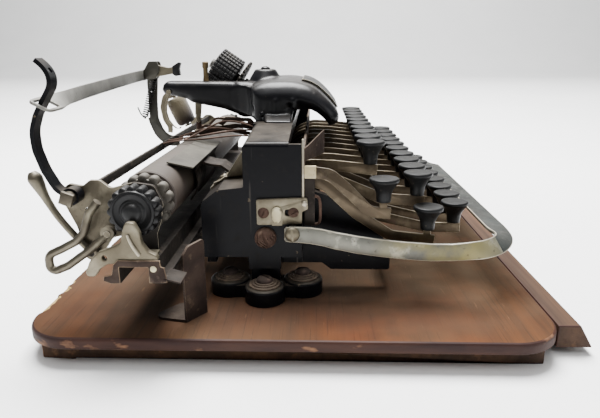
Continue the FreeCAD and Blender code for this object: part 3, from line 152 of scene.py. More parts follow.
class Finish:
    """A surface built up in layers, each laid on through a mask."""

    def __init__(self, name, colour, roughness, metallic=0.0, shine=None):
        self.material = bpy.data.materials.new(name)
        self.material.use_nodes = True
        self.tree = self.material.node_tree
        self.shader = self.tree.nodes["Principled BSDF"]
        self.shader.inputs["Base Color"].default_value = tone(*colour)
        self.shader.inputs["Roughness"].default_value = roughness
        self.shader.inputs["Metallic"].default_value = metallic
        if shine is not None:
            self.shader.inputs["Specular IOR Level"].default_value = shine
        self.place = self.node("ShaderNodeTexCoord")
        self.relief = None

    def node(self, kind, **settings):
        made = self.tree.nodes.new(kind)
        for key, value in settings.items():
            setattr(made, key, value)
        return made

    def feed(self, value, socket):
        if isinstance(value, bpy.types.NodeSocket):
            self.tree.links.new(value, socket)
        else:
            socket.default_value = value

    def steps(self, value, low, high, bottom=0.0, top=1.0):
        made = self.node("ShaderNodeMapRange", clamp=True)
        self.feed(value, made.inputs["Value"])
        for name, number in (("From Min", low), ("From Max", high), ("To Min", bottom), ("To Max", top)):
            made.inputs[name].default_value = number
        return made.outputs["Result"]

    def shifted(self, stretch, seed):
        made = self.node("ShaderNodeMapping")
        self.tree.links.new(self.place.outputs["Object"], made.inputs["Vector"])
        made.inputs["Location"].default_value = (seed * 1.7, seed * 3.1, seed * 2.3)
        made.inputs["Scale"].default_value = stretch
        return made.outputs["Vector"]

    def pattern(self, scale, low, high, seed, detail=5.0, stretch=(1, 1, 1), rough=0.55, warp=0.0):
        made = self.node("ShaderNodeTexNoise")
        self.tree.links.new(self.shifted(stretch, seed), made.inputs["Vector"])
        for name, number in (("Scale", scale), ("Detail", detail), ("Roughness", rough), ("Distortion", warp)):
            made.inputs[name].default_value = number
        return self.steps(made.outputs["Fac"], low, high)

    def cells(self, scale, low, high, seed):
        made = self.node("ShaderNodeTexVoronoi")
        self.tree.links.new(self.shifted((1, 1, 1), seed), made.inputs["Vector"])
        made.inputs["Scale"].default_value = scale
        return self.steps(made.outputs["Distance"], low, high, 1.0, 0.0)

    def upward(self, low, high):
        split = self.node("ShaderNodeSeparateXYZ")
        self.tree.links.new(self.place.outputs["Normal"], split.inputs["Vector"])
        return self.steps(split.outputs["Z"], low, high)

    def along(self, direction, start, end):
        """Mask that rises along a direction, between two distances in millimetres."""
        made = self.node("ShaderNodeVectorMath", operation="DOT_PRODUCT")
        self.tree.links.new(self.place.outputs["Object"], made.inputs[0])
        made.inputs[1].default_value = direction
        return self.steps(made.outputs["Value"], start * MM, end * MM)

    def near(self, centre, inner, outer, stretch=(1, 1, 1)):
        """Mask that is full within inner millimetres of a point and gone beyond outer."""
        made = self.node("ShaderNodeMapping")
        self.tree.links.new(self.place.outputs["Object"], made.inputs["Vector"])
        made.inputs["Location"].default_value = [-c * s * MM for c, s in zip(centre, stretch)]
        made.inputs["Scale"].default_value = stretch
        length = self.node("ShaderNodeVectorMath", operation="LENGTH")
        self.tree.links.new(made.outputs["Vector"], length.inputs[0])
        return self.steps(length.outputs["Value"], inner * MM, outer * MM, 1.0, 0.0)

    def times(self, *masks):
        result = masks[0]
        for mask in masks[1:]:
            made = self.node("ShaderNodeMath", operation="MULTIPLY")
            self.feed(result, made.inputs[0])
            self.feed(mask, made.inputs[1])
            result = made.outputs[0]
        return result

    def blend(self, mask, socket, value, kind):
        made = self.node("ShaderNodeMix", data_type=kind)
        slots = {"RGBA": (6, 7, 2), "FLOAT": (2, 3, 0)}[kind]
        under = socket.links[0].from_socket if socket.is_linked else None
        if under is None:
            plain = socket.default_value
            made.inputs[slots[0]].default_value = plain if kind == "FLOAT" else list(plain)
        else:
            self.tree.links.new(under, made.inputs[slots[0]])
        made.inputs[slots[1]].default_value = value
        self.feed(mask, made.inputs[0])
        self.tree.links.new(made.outputs[slots[2]], socket)

    def layer(self, mask, colour, roughness=None, metallic=None):
        self.blend(mask, self.shader.inputs["Base Color"], tone(*colour), "RGBA")
        if roughness is not None:
            self.blend(mask, self.shader.inputs["Roughness"], roughness, "FLOAT")
        if metallic is not None:
            self.blend(mask, self.shader.inputs["Metallic"], metallic, "FLOAT")

    def patches(self, colour, roughness, scale, low, high, seed, share=None, where=None, metallic=None, **more):
        """A layer in patches of one colour, thinned to a share and kept to where a mask lets it."""
        masks = (where, self.pattern(scale, low, high, seed, **more), share)
        self.layer(self.times(*[mask for mask in masks if mask is not None]), colour, roughness, metallic)

    def raised(self, mask, height, strength):
        """Relief from a mask, height in millimetres."""
        made = self.node("ShaderNodeBump")
        made.inputs["Distance"].default_value = height * MM
        made.inputs["Strength"].default_value = strength
        self.feed(mask, made.inputs["Height"])
        if self.relief is not None:
            self.tree.links.new(self.relief, made.inputs["Normal"])
        self.relief = made.outputs["Normal"]
        self.tree.links.new(self.relief, self.shader.inputs["Normal"])

    def grain(self, scale, height, strength, seed, **more):
        """Fine relief all over."""
        self.raised(self.pattern(scale, 0.3, 0.7, seed, **more), height, strength)


DUST, RUST = (104, 95, 82), (80, 50, 36)


def black_enamel(name, dusty, worn=0.48, shine=0.08):
    finish = Finish(name, (9, 9, 12), 0.28, shine=shine)
    finish.patches((14, 14, 17), 0.36, 26, 0.40, 0.66, 1)
    finish.patches((24, 22, 21), 0.5, 160, 0.58, 0.72, 2, detail=7)
    finish.patches((88, 84, 78), 0.5, 120, 0.68, 0.74, 3, worn, stretch=(1, 1, 0.06), detail=3)
    finish.patches((104, 92, 76), 0.6, 240, 0.71, 0.74, 4, worn, detail=2)
    finish.patches(DUST, 0.85, 55, 0.25, 0.7, 5, dusty, finish.upward(0.5, 1.0), detail=6)
    finish.grain(420, 0.04, 0.4, 6)
    finish.grain(70, 0.2, 0.3, 7, detail=2)
    return finish.material


def enamel_edge():
    finish = Finish("enamel_edge", (26, 26, 30), 0.35)
    finish.patches((84, 80, 74), 0.45, 90, 0.42, 0.58, 8, 0.45, metallic=0.3, detail=6)
    finish.grain(500, 0.05, 0.5, 9)
    return finish.material


def plated(name, colour, deep, pale, rough=0.38, metallic=0.75, rust=0.25, dusty=0.35, dark_front_at=None):
    """Old plate: clouded, pitted, spotted with rust, dusty where it faces up and, where a line is given, darker in
    front of it.
    """
    finish = Finish(name, colour, rough, metallic)
    finish.patches(deep, rough + 0.12, 38, 0.38, 0.66, 11, detail=6)
    finish.patches(pale, rough + 0.05, 75, 0.52, 0.72, 12, 0.8, detail=7)
    pits = finish.times(finish.cells(620, 0.0, 0.34, 13), finish.pattern(60, 0.48, 0.62, 14))
    finish.layer(finish.times(pits, 0.5), (70, 60, 50), 0.8, 0.2)
    finish.patches(RUST, 0.85, 105, 0.62, 0.70, 15, rust, metallic=0.05, detail=8, rough=0.65)
    finish.patches((150, 142, 128), 0.85, 70, 0.25, 0.75, 16, dusty, finish.upward(0.4, 1.0), 0.0)
    # A darker band in front of the given line, towards -Y.
    if dark_front_at:
        finish.layer(finish.along((0, -1, 0), -dark_front_at - 5, 3 - dark_front_at), (36, 31, 27), 0.8, 0.05)
    finish.raised(finish.times(pits, -1.0), 0.12, 0.8)
    finish.grain(300, 0.06, 0.6, 17, detail=7)
    return finish.material


def bar_steel():
    finish = Finish("space_bar_steel", (108, 107, 98), 0.36, 0.8)
    finish.patches((90, 90, 84), 0.46, 46, 0.40, 0.62, 18, detail=7)
    finish.patches((150, 148, 136), 0.4, 120, 0.55, 0.68, 19, detail=8)
    finish.patches((150, 138, 70), 0.6, 60, 0.35, 0.6, 20, 0.6, finish.near((-118, -72, 45), 12, 40), 0.2)
    # Painted reflection: faces that look up are painted darker and less metallic, standing for the dark reflection on
    # the bar's flat front.
    finish.layer(finish.times(finish.upward(0.5, 0.9), 0.95), (50, 53, 50), 0.62, 0.1)
    finish.patches((60, 50, 40), 0.8, 330, 0.62, 0.70, 29, 0.6, metallic=0.1)
    finish.grain(300, 0.06, 0.6, 26, detail=7)
    return finish.material


def rusted(name, colour, deep, flake, metallic=0.2, dusty=0.3):
    finish = Finish(name, colour, 0.72, metallic, 0.25)
    finish.patches(deep, 0.85, 70, 0.40, 0.62, 21, detail=8)
    finish.patches(flake, 0.6, 210, 0.58, 0.68, 22, 0.7, detail=8)
    finish.patches(DUST, 0.9, 90, 0.3, 0.7, 23, dusty, finish.upward(0.45, 1.0))
    finish.grain(380, 0.14, 0.8, 24, detail=8)
    return finish.material


def stained_board():
    """Stained top: streaks, open pores, dust, grime and rubbed spots where each lies, with painted shade under the keys
    and painted shadows beside the body and near the carriage's left end.
    """
    finish = Finish("stained_board", (78, 42, 16), 0.6, shine=0.06)
    finish.patches((62, 35, 17), None, 30, 0.36, 0.64, 31, stretch=(0.14, 1, 1), detail=8, warp=0.6)
    streaks = finish.pattern(170, 0.42, 0.66, 32, stretch=(0.035, 1, 1), detail=6)
    finish.layer(finish.times(streaks, 0.6), (42, 24, 15), 0.65)
    pores = finish.pattern(620, 0.56, 0.66, 33, stretch=(0.03, 1, 1), detail=3)
    finish.layer(finish.times(pores, 0.55), (30, 18, 13), 0.7)
    rubbed = finish.near((-150, -52, 16), 10, 50, (0.6, 1, 1))
    finish.patches((100, 48, 16), 0.5, 60, 0.3, 0.7, 34, 0.7, rubbed)
    # Painted shade: the board is darkened under the front of the keyboard, where shade falls.
    shade_under_keys = finish.near((0, -70, 16), 75, 135, (0.75, 1.3, 1))
    finish.patches((44, 34, 24), 0.9, 40, 0.0, 0.55, 35, 0.95, shade_under_keys, detail=7)
    finish.patches((78, 64, 49), 0.85, 14, 0.32, 0.7, 39, 0.55, detail=6)
    grime = finish.near((-20, 60, 16), 70, 150, (0.9, 1, 1))
    finish.patches((82, 70, 58), 0.85, 22, 0.25, 0.75, 36, 0.65, grime)
    # Painted shadow: a dark band on the board along the body's left side, where its shadow falls.
    shadow_band = finish.near((-138, -10, 16), 4, 22, (0.75, 0.16, 1))
    finish.patches((48, 34, 28), 0.7, 30, 0.2, 0.7, 38, 0.6, shadow_band)
    # Painted shadows: two dark spots on the board, beside the body's front left and near the carriage's left end, where
    # shadow falls.
    for spot, inner, outer, stretch in (((-112, -14, 16), 12, 44, (1, 0.55, 1)), ((-136, 92, 16), 4, 42, (1, 0.7, 1))):
        painted_shadow = finish.near(spot, inner, outer, stretch)
        finish.patches((34, 27, 22), 0.85, 36, 0.1, 0.6, 40, 0.7, painted_shadow)
    finish.patches((120, 88, 62), 0.6, 420, 0.67, 0.74, 37, 0.22, stretch=(0.14, 1, 1))
    finish.raised(finish.times(pores, -1.0), 0.12, 0.5)
    finish.raised(streaks, 0.10, 0.4)
    return finish.material


def board_rim():
    finish = Finish("board_rim", (56, 34, 26), 0.55, shine=0.15)
    finish.patches((38, 23, 21), 0.6, 90, 0.40, 0.62, 41, stretch=(0.2, 0.2, 1), detail=7)
    finish.patches((128, 92, 66), 0.7, 150, 0.60, 0.68, 42, 0.7, stretch=(0.35, 0.35, 1), detail=8)
    finish.grain(260, 0.15, 0.5, 43, detail=6)
    return finish.material


def bare_wood():
    finish = Finish("bare_wood", (176, 156, 92), 0.75)
    finish.patches((140, 112, 66), None, 130, 0.40, 0.62, 44, stretch=(0.1, 1, 1), detail=7)
    finish.patches((160, 96, 62), None, 80, 0.56, 0.66, 45)
    finish.grain(380, 0.2, 0.7, 46, stretch=(0.1, 1, 1))
    return finish.material


def rail_wood():
    finish = Finish("rail_wood", (74, 52, 36), 0.62, shine=0.15)
    finish.patches((50, 36, 27), None, 44, 0.36, 0.64, 51, stretch=(0.1, 1, 1), detail=8, warp=0.5)
    streaks = finish.pattern(260, 0.44, 0.66, 52, stretch=(0.04, 1, 1), detail=6)
    finish.layer(finish.times(streaks, 0.6), (40, 27, 20), 0.72)
    finish.patches((118, 84, 58), 0.7, 120, 0.62, 0.70, 53, 0.4, stretch=(0.3, 1, 1), detail=7)
    finish.raised(streaks, 0.1, 0.4)
    return finish.material


def key_rubber():
    finish = Finish("key_cap_rubber", (12, 13, 14), 0.38, shine=0.16)
    finish.patches((17, 18, 18), 0.5, 90, 0.4, 0.65, 61, detail=6)
    finish.patches((34, 33, 31), 0.8, 150, 0.0, 0.7, 62, 0.75, finish.upward(0.8, 0.99), detail=6)
    finish.patches((92, 84, 72), 0.8, 420, 0.64, 0.71, 63, 0.35)
    finish.grain(500, 0.05, 0.5, 64)
    return finish.material


def black_rubber(name, colour, dusty):
    finish = Finish(name, colour, 0.42, shine=0.2)
    finish.patches([c + 10 for c in colour], 0.5, 80, 0.4, 0.65, 65, detail=6)
    finish.patches((92, 86, 76), 0.85, 110, 0.25, 0.7, 66, dusty, finish.upward(0.3, 1.0), detail=6)
    finish.grain(380, 0.07, 0.5, 67)
    return finish.material


def platen_rubber():
    finish = Finish("platen_rubber", (46, 36, 30), 0.6)
    finish.patches((60, 49, 40), 0.7, 34, 0.38, 0.62, 71, stretch=(0.5, 1, 1), detail=7)
    finish.patches((64, 58, 48), 0.85, 60, 0.1, 0.7, 72, 0.75, finish.upward(-0.1, 0.9))
    finish.patches((36, 28, 25), 0.6, 300, 0.5, 0.62, 73, 0.35, stretch=(1, 0.02, 0.02), detail=4)
    finish.grain(260, 0.08, 0.5, 74, detail=6)
    return finish.material


def ink_felt():
    """Dark felt with a painted highlight: paler on its upper side, towards -X and the rear."""
    finish = Finish("ink_felt", (40, 28, 23), 0.95)
    # Painted highlight: the felt turns pale on the side that faces this way.
    face = (-0.55, 0.62, 0.56)
    middle = -0.55 * INK_CENTRE[0] + 0.62 * INK_CENTRE[1] + 0.56 * INK_CENTRE[2]
    finish.layer(finish.along(face, middle - 3.5, middle + 5.5), (106, 97, 76), 0.95)
    finish.patches((72, 52, 40), 0.95, 190, 0.55, 0.72, 75, detail=7)
    finish.shader.inputs["Sheen Weight"].default_value = 0.3
    finish.grain(900, 0.2, 0.8, 76)
    return finish.material


def brass():
    finish = Finish("old_brass", (96, 84, 54), 0.45, 0.7)
    finish.patches((86, 70, 46), 0.6, 150, 0.4, 0.6, 77, detail=6)
    finish.grain(400, 0.05, 0.5, 78)
    return finish.material


ENAMEL = black_enamel("black_enamel", 0.38)
ENAMEL_HOOD = black_enamel("hood_enamel", 0.16, 0.32, 0.2)
ENAMEL_EDGE = enamel_edge()
NICKEL = plated("aged_nickel", (112, 105, 88), (82, 75, 61), (142, 135, 117), dusty=0.25)
NICKEL_EDGE = plated("nickel_edge", (178, 171, 153), (140, 131, 113), (205, 199, 184), rust=0.1)
ROD_STEEL = plated("rod_steel", (94, 88, 75), (68, 62, 52), (122, 116, 99), rust=0.2, dusty=0.2)
GREY_STEEL = plated("grey_steel", (104, 103, 98), (86, 84, 79), (124, 122, 116), 0.5, 0.3, 0.12, 0.1)
END_NICKEL = plated("end_plate_nickel", (100, 93, 78), (72, 66, 54), (128, 121, 104), dusty=0.2, dark_front_at=84)
LEVER_STEEL = plated("lever_steel", (84, 73, 57), (57, 48, 37), (114, 103, 84), rust=0.5)
LEVER_EDGE = plated("lever_edge", (128, 116, 92), (88, 77, 58), (164, 153, 128), rust=0.3, dusty=0.15)
DARK_STEEL = rusted("dark_steel", (44, 40, 36), (30, 27, 25), (74, 66, 56), 0.4, 0.15)
BROWN_SHEET = rusted("brown_sheet", (52, 40, 33), (38, 28, 24), (74, 60, 48))
BROWN_EDGE = rusted("brown_sheet_edge", (120, 102, 82), (84, 68, 54), (156, 138, 114))
# Dark finish for dark sheet parts; on the carriage channel it is also painted shade.
DARK_SHEET_AND_PAINTED_SHADE = rusted("dark_sheet_and_painted_shade", (34, 28, 23), (24, 19, 16), (54, 44, 36), 0.1, 0.08)
RUSTY = rusted("rusty_steel", (84, 64, 54), (56, 40, 33), (116, 96, 82))
WASHER = rusted("dusty_washer", (74, 62, 52), (52, 43, 36), (100, 86, 72), 0.1)
DOME = rusted("dark_screw", (52, 40, 36), (36, 28, 26), (84, 68, 60), 0.3)
CAP = key_rubber()
KNOB_RUBBER = black_rubber("knob_rubber", (12, 12, 13), 0.12)
WHEEL_RUBBER = black_rubber("type_wheel_rubber", (42, 42, 43), 0.7)
PLATEN = platen_rubber()
FELT = ink_felt()
BRASS = brass()
BOARD, RIM, BARE, RAIL_WOOD = stained_board(), board_rim(), bare_wood(), rail_wood()
BAR_STEEL = bar_steel()
# Painted reflection: a dark, dull finish for the top of the bar's flat front, standing for the dark reflection it
# shows.
BAR_TOP_PAINTED_REFLECTION = rusted("space_bar_top_painted_reflection", (40, 43, 41), (32, 34, 33), (58, 58, 54), 0.0, 0.1)
CARD = plated("card_sheet", (60, 57, 46), (47, 43, 35), (74, 70, 59), 0.65, 0.2, 0.35, 0.05)
DULL_STEEL = plated("dull_steel", (58, 56, 49), (42, 41, 36), (80, 77, 68), 0.5, 0.5, 0.15, 0.05)
LOBE_METAL = plated("lobed_wheel_metal", (76, 72, 64), (54, 50, 45), (104, 98, 86), 0.6, 0.3, dusty=0.3)
CREAM = plated("cream_block", (196, 186, 152), (170, 156, 120), (214, 206, 178), 0.8, 0.0, 0.15)


# ---- ways of working ---------------------------------------------------------------------------
def deselect():
    if bpy.context.object and bpy.context.object.mode != "OBJECT":
        bpy.ops.object.mode_set(mode="OBJECT")
    bpy.ops.object.select_all(action="DESELECT")


def take_up(piece):
    deselect()
    piece.select_set(True)
    bpy.context.view_layer.objects.active = piece


def settle(piece):
    """Put the piece's place and turn into its mesh."""
    take_up(piece)
    bpy.ops.object.transform_apply(location=True, rotation=True, scale=True)


def work(piece, kind, **settings):
    step = piece.modifiers.new(kind.lower(), kind)
    for key, value in settings.items():
        setattr(step, key, value)
    take_up(piece)
    bpy.ops.object.modifier_apply(modifier=step.name)


def round_edges(piece, width, angle=35, segments=2, second=False):
    work(piece, "BEVEL", width=width * MM, segments=segments, limit_method="ANGLE", angle_limit=radians(angle),
         material=1 if second else -1, miter_outer="MITER_ARC")


def smooth(piece, angle=35):
    take_up(piece)
    bpy.ops.object.shade_smooth_by_angle(angle=radians(angle))


def level(piece):
    """Keep broad flat faces flat where they meet an eased edge."""
    work(piece, "WEIGHTED_NORMAL", keep_sharp=True, weight=80)


def coat(piece, *finishes):
    piece.data.materials.clear()
    for finish in finishes:
        piece.data.materials.append(finish)


def mount(piece, body):
    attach(piece, body)
    return piece


def in_place_of(piece, node):
    """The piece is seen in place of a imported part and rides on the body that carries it."""
    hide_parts(node)
    return mount(piece, carried_by[node])


def over_all(piece, operator, **settings):
    """Run a mesh operator on the whole of a piece."""
    take_up(piece)
    bpy.ops.object.mode_set(mode="EDIT")
    bpy.ops.mesh.select_all(action="SELECT")
    operator(**settings)
    bpy.ops.object.mode_set(mode="OBJECT")


def laid_out(name, data):
    """A new piece in the scene, from a mesh or a curve."""
    piece = bpy.data.objects.new(name, data)
    bpy.context.scene.collection.objects.link(piece)
    return piece


def copied(node, name=None):
    """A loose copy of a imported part's mesh, its doubled points merged."""
    piece = laid_out(name or node + "_dressed", nodes[node].data.copy())
    for face in piece.data.polygons:
        face.material_index = 0
    over_all(piece, bpy.ops.mesh.remove_doubles, threshold=MERGE_GAP)
    bpy.ops.mesh.customdata_custom_splitnormals_clear()
    return piece


def flatten(piece):
    """Merge the triangles of flat faces."""
    over_all(piece, bpy.ops.mesh.dissolve_limited, angle_limit=FLAT_WITHIN)


def pick(piece, index, test):
    """Give the faces whose middle passes the test another of the piece's finishes."""
    for face in piece.data.polygons:
        if test(face.center / MM, face.normal):
            face.material_index = index


def islands(piece):
    """Groups of vertex numbers, one for each separate shell."""
    parent = list(range(len(piece.data.vertices)))

    def root(v):
        while parent[v] != v:
            parent[v] = parent[parent[v]]
            v = parent[v]
        return v

    for edge in piece.data.edges:
        a, b = (root(v) for v in edge.vertices)
        parent[a] = b
    groups = {}
    for v in range(len(parent)):
        groups.setdefault(root(v), []).append(v)
    return list(groups.values())


def drop_islands(piece, test):
    """Delete each separate shell whose centre passes the test."""
    points = [v.co.copy() for v in piece.data.vertices]
    doomed = set()
    for group in islands(piece):
        centre = sum((points[v] for v in group), Vector()) / len(group)
        if test(centre / MM):
            doomed.update(group)
    take_up(piece)
    bpy.ops.object.mode_set(mode="EDIT")
    bpy.ops.mesh.select_all(action="DESELECT")
    bpy.ops.object.mode_set(mode="OBJECT")
    for v in piece.data.vertices:
        v.select = v.index in doomed
    bpy.ops.object.mode_set(mode="EDIT")
    bpy.ops.mesh.select_mode(type="VERT")
    bpy.ops.mesh.delete(type="VERT")
    bpy.ops.object.mode_set(mode="OBJECT")


def dressed(node, finishes, ease, broad=True):
    """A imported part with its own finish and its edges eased; a second finish goes on the edges."""
    piece = copied(node)
    coat(piece, *finishes)
    if broad:
        flatten(piece)
    round_edges(piece, ease, second=len(finishes) > 1)
    smooth(piece)
    level(piece)
    return in_place_of(piece, node)


def cast(piece, grain, rounds):
    """Give a piece the soft corners of a casting."""
    work(piece, "REMESH", mode="VOXEL", voxel_size=grain * MM, use_smooth_shade=True)
    work(piece, "SMOOTH", factor=0.5, iterations=rounds)
    smooth(piece, 60)


def turned(name, rings, sides=40, lobes=0, depth=0.0):
    """A closed piece turned about Z from rings of (radius, height); lobes scallop its rim."""
    deselect()
    radius, height = rings[0]
    bpy.ops.mesh.primitive_circle_add(vertices=sides, radius=radius * MM, fill_type="NGON",
                                      location=(0, 0, height * MM))
    piece = bpy.context.object
    piece.name = name
    settle(piece)
    if lobes:
        for i, v in enumerate(piece.data.vertices):
            a = 2 * pi * i / sides
            wave = 1 - depth / radius * (1 - abs(cos(a * lobes / 2)) ** 0.8)
            v.co.x *= wave
            v.co.y *= wave
    bpy.ops.object.mode_set(mode="EDIT")
    bpy.ops.mesh.select_mode(type="FACE")
    bpy.ops.mesh.select_all(action="SELECT")
    for (ra, za), (rb, zb) in zip(rings, rings[1:]):
        bpy.ops.mesh.extrude_region_move(TRANSFORM_OT_translate={"value": (0, 0, (zb - za) * MM)})
        bpy.ops.transform.resize(value=(rb / ra, rb / ra, 1), center_override=(0, 0, zb * MM))
    bpy.ops.mesh.select_all(action="SELECT")
    bpy.ops.mesh.normals_make_consistent(inside=False)
    bpy.ops.object.mode_set(mode="OBJECT")
    return piece


def stand(piece, place, axis=UP, turn=0.0, scale=1.0):
    """Set a piece that was made about Z at its place, with Z along axis."""
    facing = Vector(axis).to_track_quat("Z", "Y").to_matrix().to_4x4()
    spin = Matrix.Rotation(turn, 4, "Z")
    piece.matrix_world = Matrix.Translation(Vector(place) * MM) @ facing @ spin @ Matrix.Scale(scale, 4)
    settle(piece)
    return piece


def again(pattern, name):
    return laid_out(name, pattern.data.copy())


def scrap(piece):
    bpy.data.objects.remove(piece, do_unlink=True)


def joined(name, pieces):
    deselect()
    for piece in pieces:
        piece.select_set(True)
    bpy.context.view_layer.objects.active = pieces[0]
    bpy.ops.object.join()
    pieces[0].name = name
    return pieces[0]


def block(name, low, high, bevel=0):
    """A squared block between two corners, its edges eased where a bevel is given."""
    deselect()
    low, high = Vector(low), Vector(high)
    bpy.ops.mesh.primitive_cube_add(size=1.0, location=(low + high) / 2 * MM)
    piece = bpy.context.object
    piece.name = name
    piece.scale = (high - low) * MM
    settle(piece)
    if bevel:
        round_edges(piece, bevel, 30)
    return piece


def bent_wire(name, points, radius, thick=None, sides=4, order=4):
    """A round wire along a smooth line through the neighbourhood of points."""
    curve = bpy.data.curves.new(name, "CURVE")
    curve.dimensions = "3D"
    curve.bevel_depth = radius * MM
    curve.bevel_resolution = sides // 2
    curve.use_fill_caps = True
    curve.resolution_u = 8
    line = curve.splines.new("NURBS")
    line.points.add(len(points) - 1)
    for i, (spot, point) in enumerate(zip(line.points, points)):
        spot.co = (*[c * MM for c in point], 1)
        spot.radius = thick[i] if thick else 1.0
    line.order_u = min(order, len(points))
    line.use_endpoint_u = True
    piece = laid_out(name, curve)
    take_up(piece)
    bpy.ops.object.convert(target="MESH")
    piece = bpy.context.object
    piece.name = name
    smooth(piece, 50)
    return piece


def lofted(name, sections):
    """A closed skin laid over a run of sections that all have the same number of points."""
    count = len(sections[0])
    points = [Vector(p) * MM for section in sections for p in section]
    faces = []
    for i in range(len(sections) - 1):
        for j in range(count):
            k = (j + 1) % count
            faces.append((i * count + j, i * count + k, (i + 1) * count + k, (i + 1) * count + j))
    faces += [tuple(range(count)), tuple(range(len(points) - count, len(points)))]
    mesh = bpy.data.meshes.new(name)
    mesh.from_pydata(points, [], faces)
    piece = laid_out(name, mesh)
    over_all(piece, bpy.ops.mesh.normals_make_consistent, inside=False)
    return piece


def cut_away(piece, tool):
    work(piece, "BOOLEAN", operation="DIFFERENCE", object=tool, solver="EXACT")
    scrap(tool)


def eased(piece, finishes, ease, body, angle=35, shade=35):
    """A piece coated, its edges eased with a second finish on them, smoothed and mounted."""
    coat(piece, *finishes)
    round_edges(piece, ease, angle, second=len(finishes) > 1)
    smooth(piece, shade)
    return mount(piece, body)


def cut_sheet(name, outline, x0, x1, finishes, ease, body):
    """A sheet cut to an outline of (y, z) points, between two places along x."""
    return eased(lofted(name, [[(x, y, z) for y, z in outline] for x in (x0, x1)]), finishes, ease, body)


def turned_part(name, rings, place, axis, finish, body, sides=40, shade=35, lobes=0, depth=0.0):
    """A turned piece, finished and mounted in its place."""
    piece = turned(name, rings, sides, lobes, depth)
    coat(piece, finish)
    smooth(piece, shade)
    return mount(stand(piece, place, axis), body)


def wire_part(name, points, radius, finish, body, slot, **shape):
    """A bent wire, finished and mounted."""
    piece = bent_wire(name, points, radius, **shape)
    coat(piece, finish)
    return mount(piece, body)


# ---- screws ------------------------------------------------------------------------------------
def make_screw_pattern():
    """A domed head of radius 1 with a screwdriver slot across it."""
    head = turned("screw_pattern", [(1.0, -0.05), (1.0, 0.16), (0.94, 0.27), (0.78, 0.42), (0.52, 0.54), (0.2, 0.6)])
    cut_away(head, block("screw_slot", (-1.2, -0.13, 0.36), (1.2, 0.13, 1.0)))
    round_edges(head, 0.04, 40)
    smooth(head, 40)
    return head


def screw(name, place, axis, radius, turn, body, finish):
    piece = again(SCREW, name)
    coat(piece, finish)
    stand(piece, place, axis, turn, radius)
    return mount(piece, body)


SCREW = make_screw_pattern()


# ---- the base ----------------------------------------------------------------------------------
def board_outline(inset, chipped):
    """Points round the board, its rear edge broken back where the veneer is chipped."""
    half, front, rear, corner = 165.0, -123.25, 141.25, 25.0
    draws = random.Random(11)
    points = []
    for cx, cy, start in ((half - corner, rear - corner, 0), (-half + corner, rear - corner, 90),
                          (-half + corner, front + corner, 180), (half - corner, front + corner, 270)):
        for i in range(17):
            a = radians(start + 90 * i / 16)
            points.append((cx + (corner - inset) * cos(a), cy + (corner - inset) * sin(a)))
        if start == 0:
            x = cx - 1.0
            while x > -half + corner:
                depth = draws.uniform(0.0, 0.25)
                for low, high, most in CHIPS:
                    if low < x < high:
                        depth = most * min(1, (x - low) / 3, (high - x) / 3) * draws.uniform(0.65, 1.0)
                points.append((x, rear - inset - (depth if chipped else 0)))
                x -= 1.3
    return points


CHIPS = ((-139.5, -117, 2.6), (-115, -105, 3.2), (-103.5, -97, 2.0), (58, 74, 1.8))


def make_base():
    levels = ((10.0, 0.6, False), (10.5, 0.0, False), (14.2, 0.0, False), (15.0, 0.15, True), (15.6, 0.5, True),
              (16.0, 1.3, True))
    rings = [[(x, y, z) for x, y in board_outline(inset, chipped)] for z, inset, chipped in levels]
    board = lofted("base_board_wood", rings)
    coat(board, BOARD, RIM, BARE)
    for face in board.data.polygons:
        if len(face.vertices) > 4:
            continue
        centre = face.center / MM
        broken = centre.y > 136 and centre.z > 14 and any(a + 0.8 < centre.x < b - 0.8 for a, b, c in CHIPS)
        face.material_index = 2 if broken else 1
    smooth(board, 25)
    in_place_of(board, "base_board")
    dressed("base_rails", (RAIL_WOOD, RIM), 0.7)


# ---- the body ----------------------------------------------------------------------------------
HOOD_HALF = 50.0
HOOD_CURVE = ((38, 126.5), (34, 128.2), (30.2, 129.4), (25, 130.0), (20, 130.2), (12.9, 130.1), (6.8, 129.2),
              (3, 128.2), (-0.5, 126.9), (-3.8, 125.0), (-6.7, 122.6), (-9.7, 119.6), (-12.3, 116.6),
              (-14.7, 113.4), (-16.4, 110.7), (-17.6, 107.6), (-17.6, 104.4), (-16.4, 101.9), (-14.4, 100.8),
              (-12.4, 100.2), (-10.6, 100.6), (-7, 104.2), (-3.1, 107.6), (0.7, 110.1), (5, 110.9))
ARM_CURVE = ((30, 126.9), (52, 127.1), (75.1, 127.5), (96.8, 127.6), (99.6, 125.6), (100.8, 122), (99.5, 119.2),
             (84, 115.8), (81, 113.4), (67.8, 110.8), (59.2, 109), (45, 103.8), (40, 104.2))


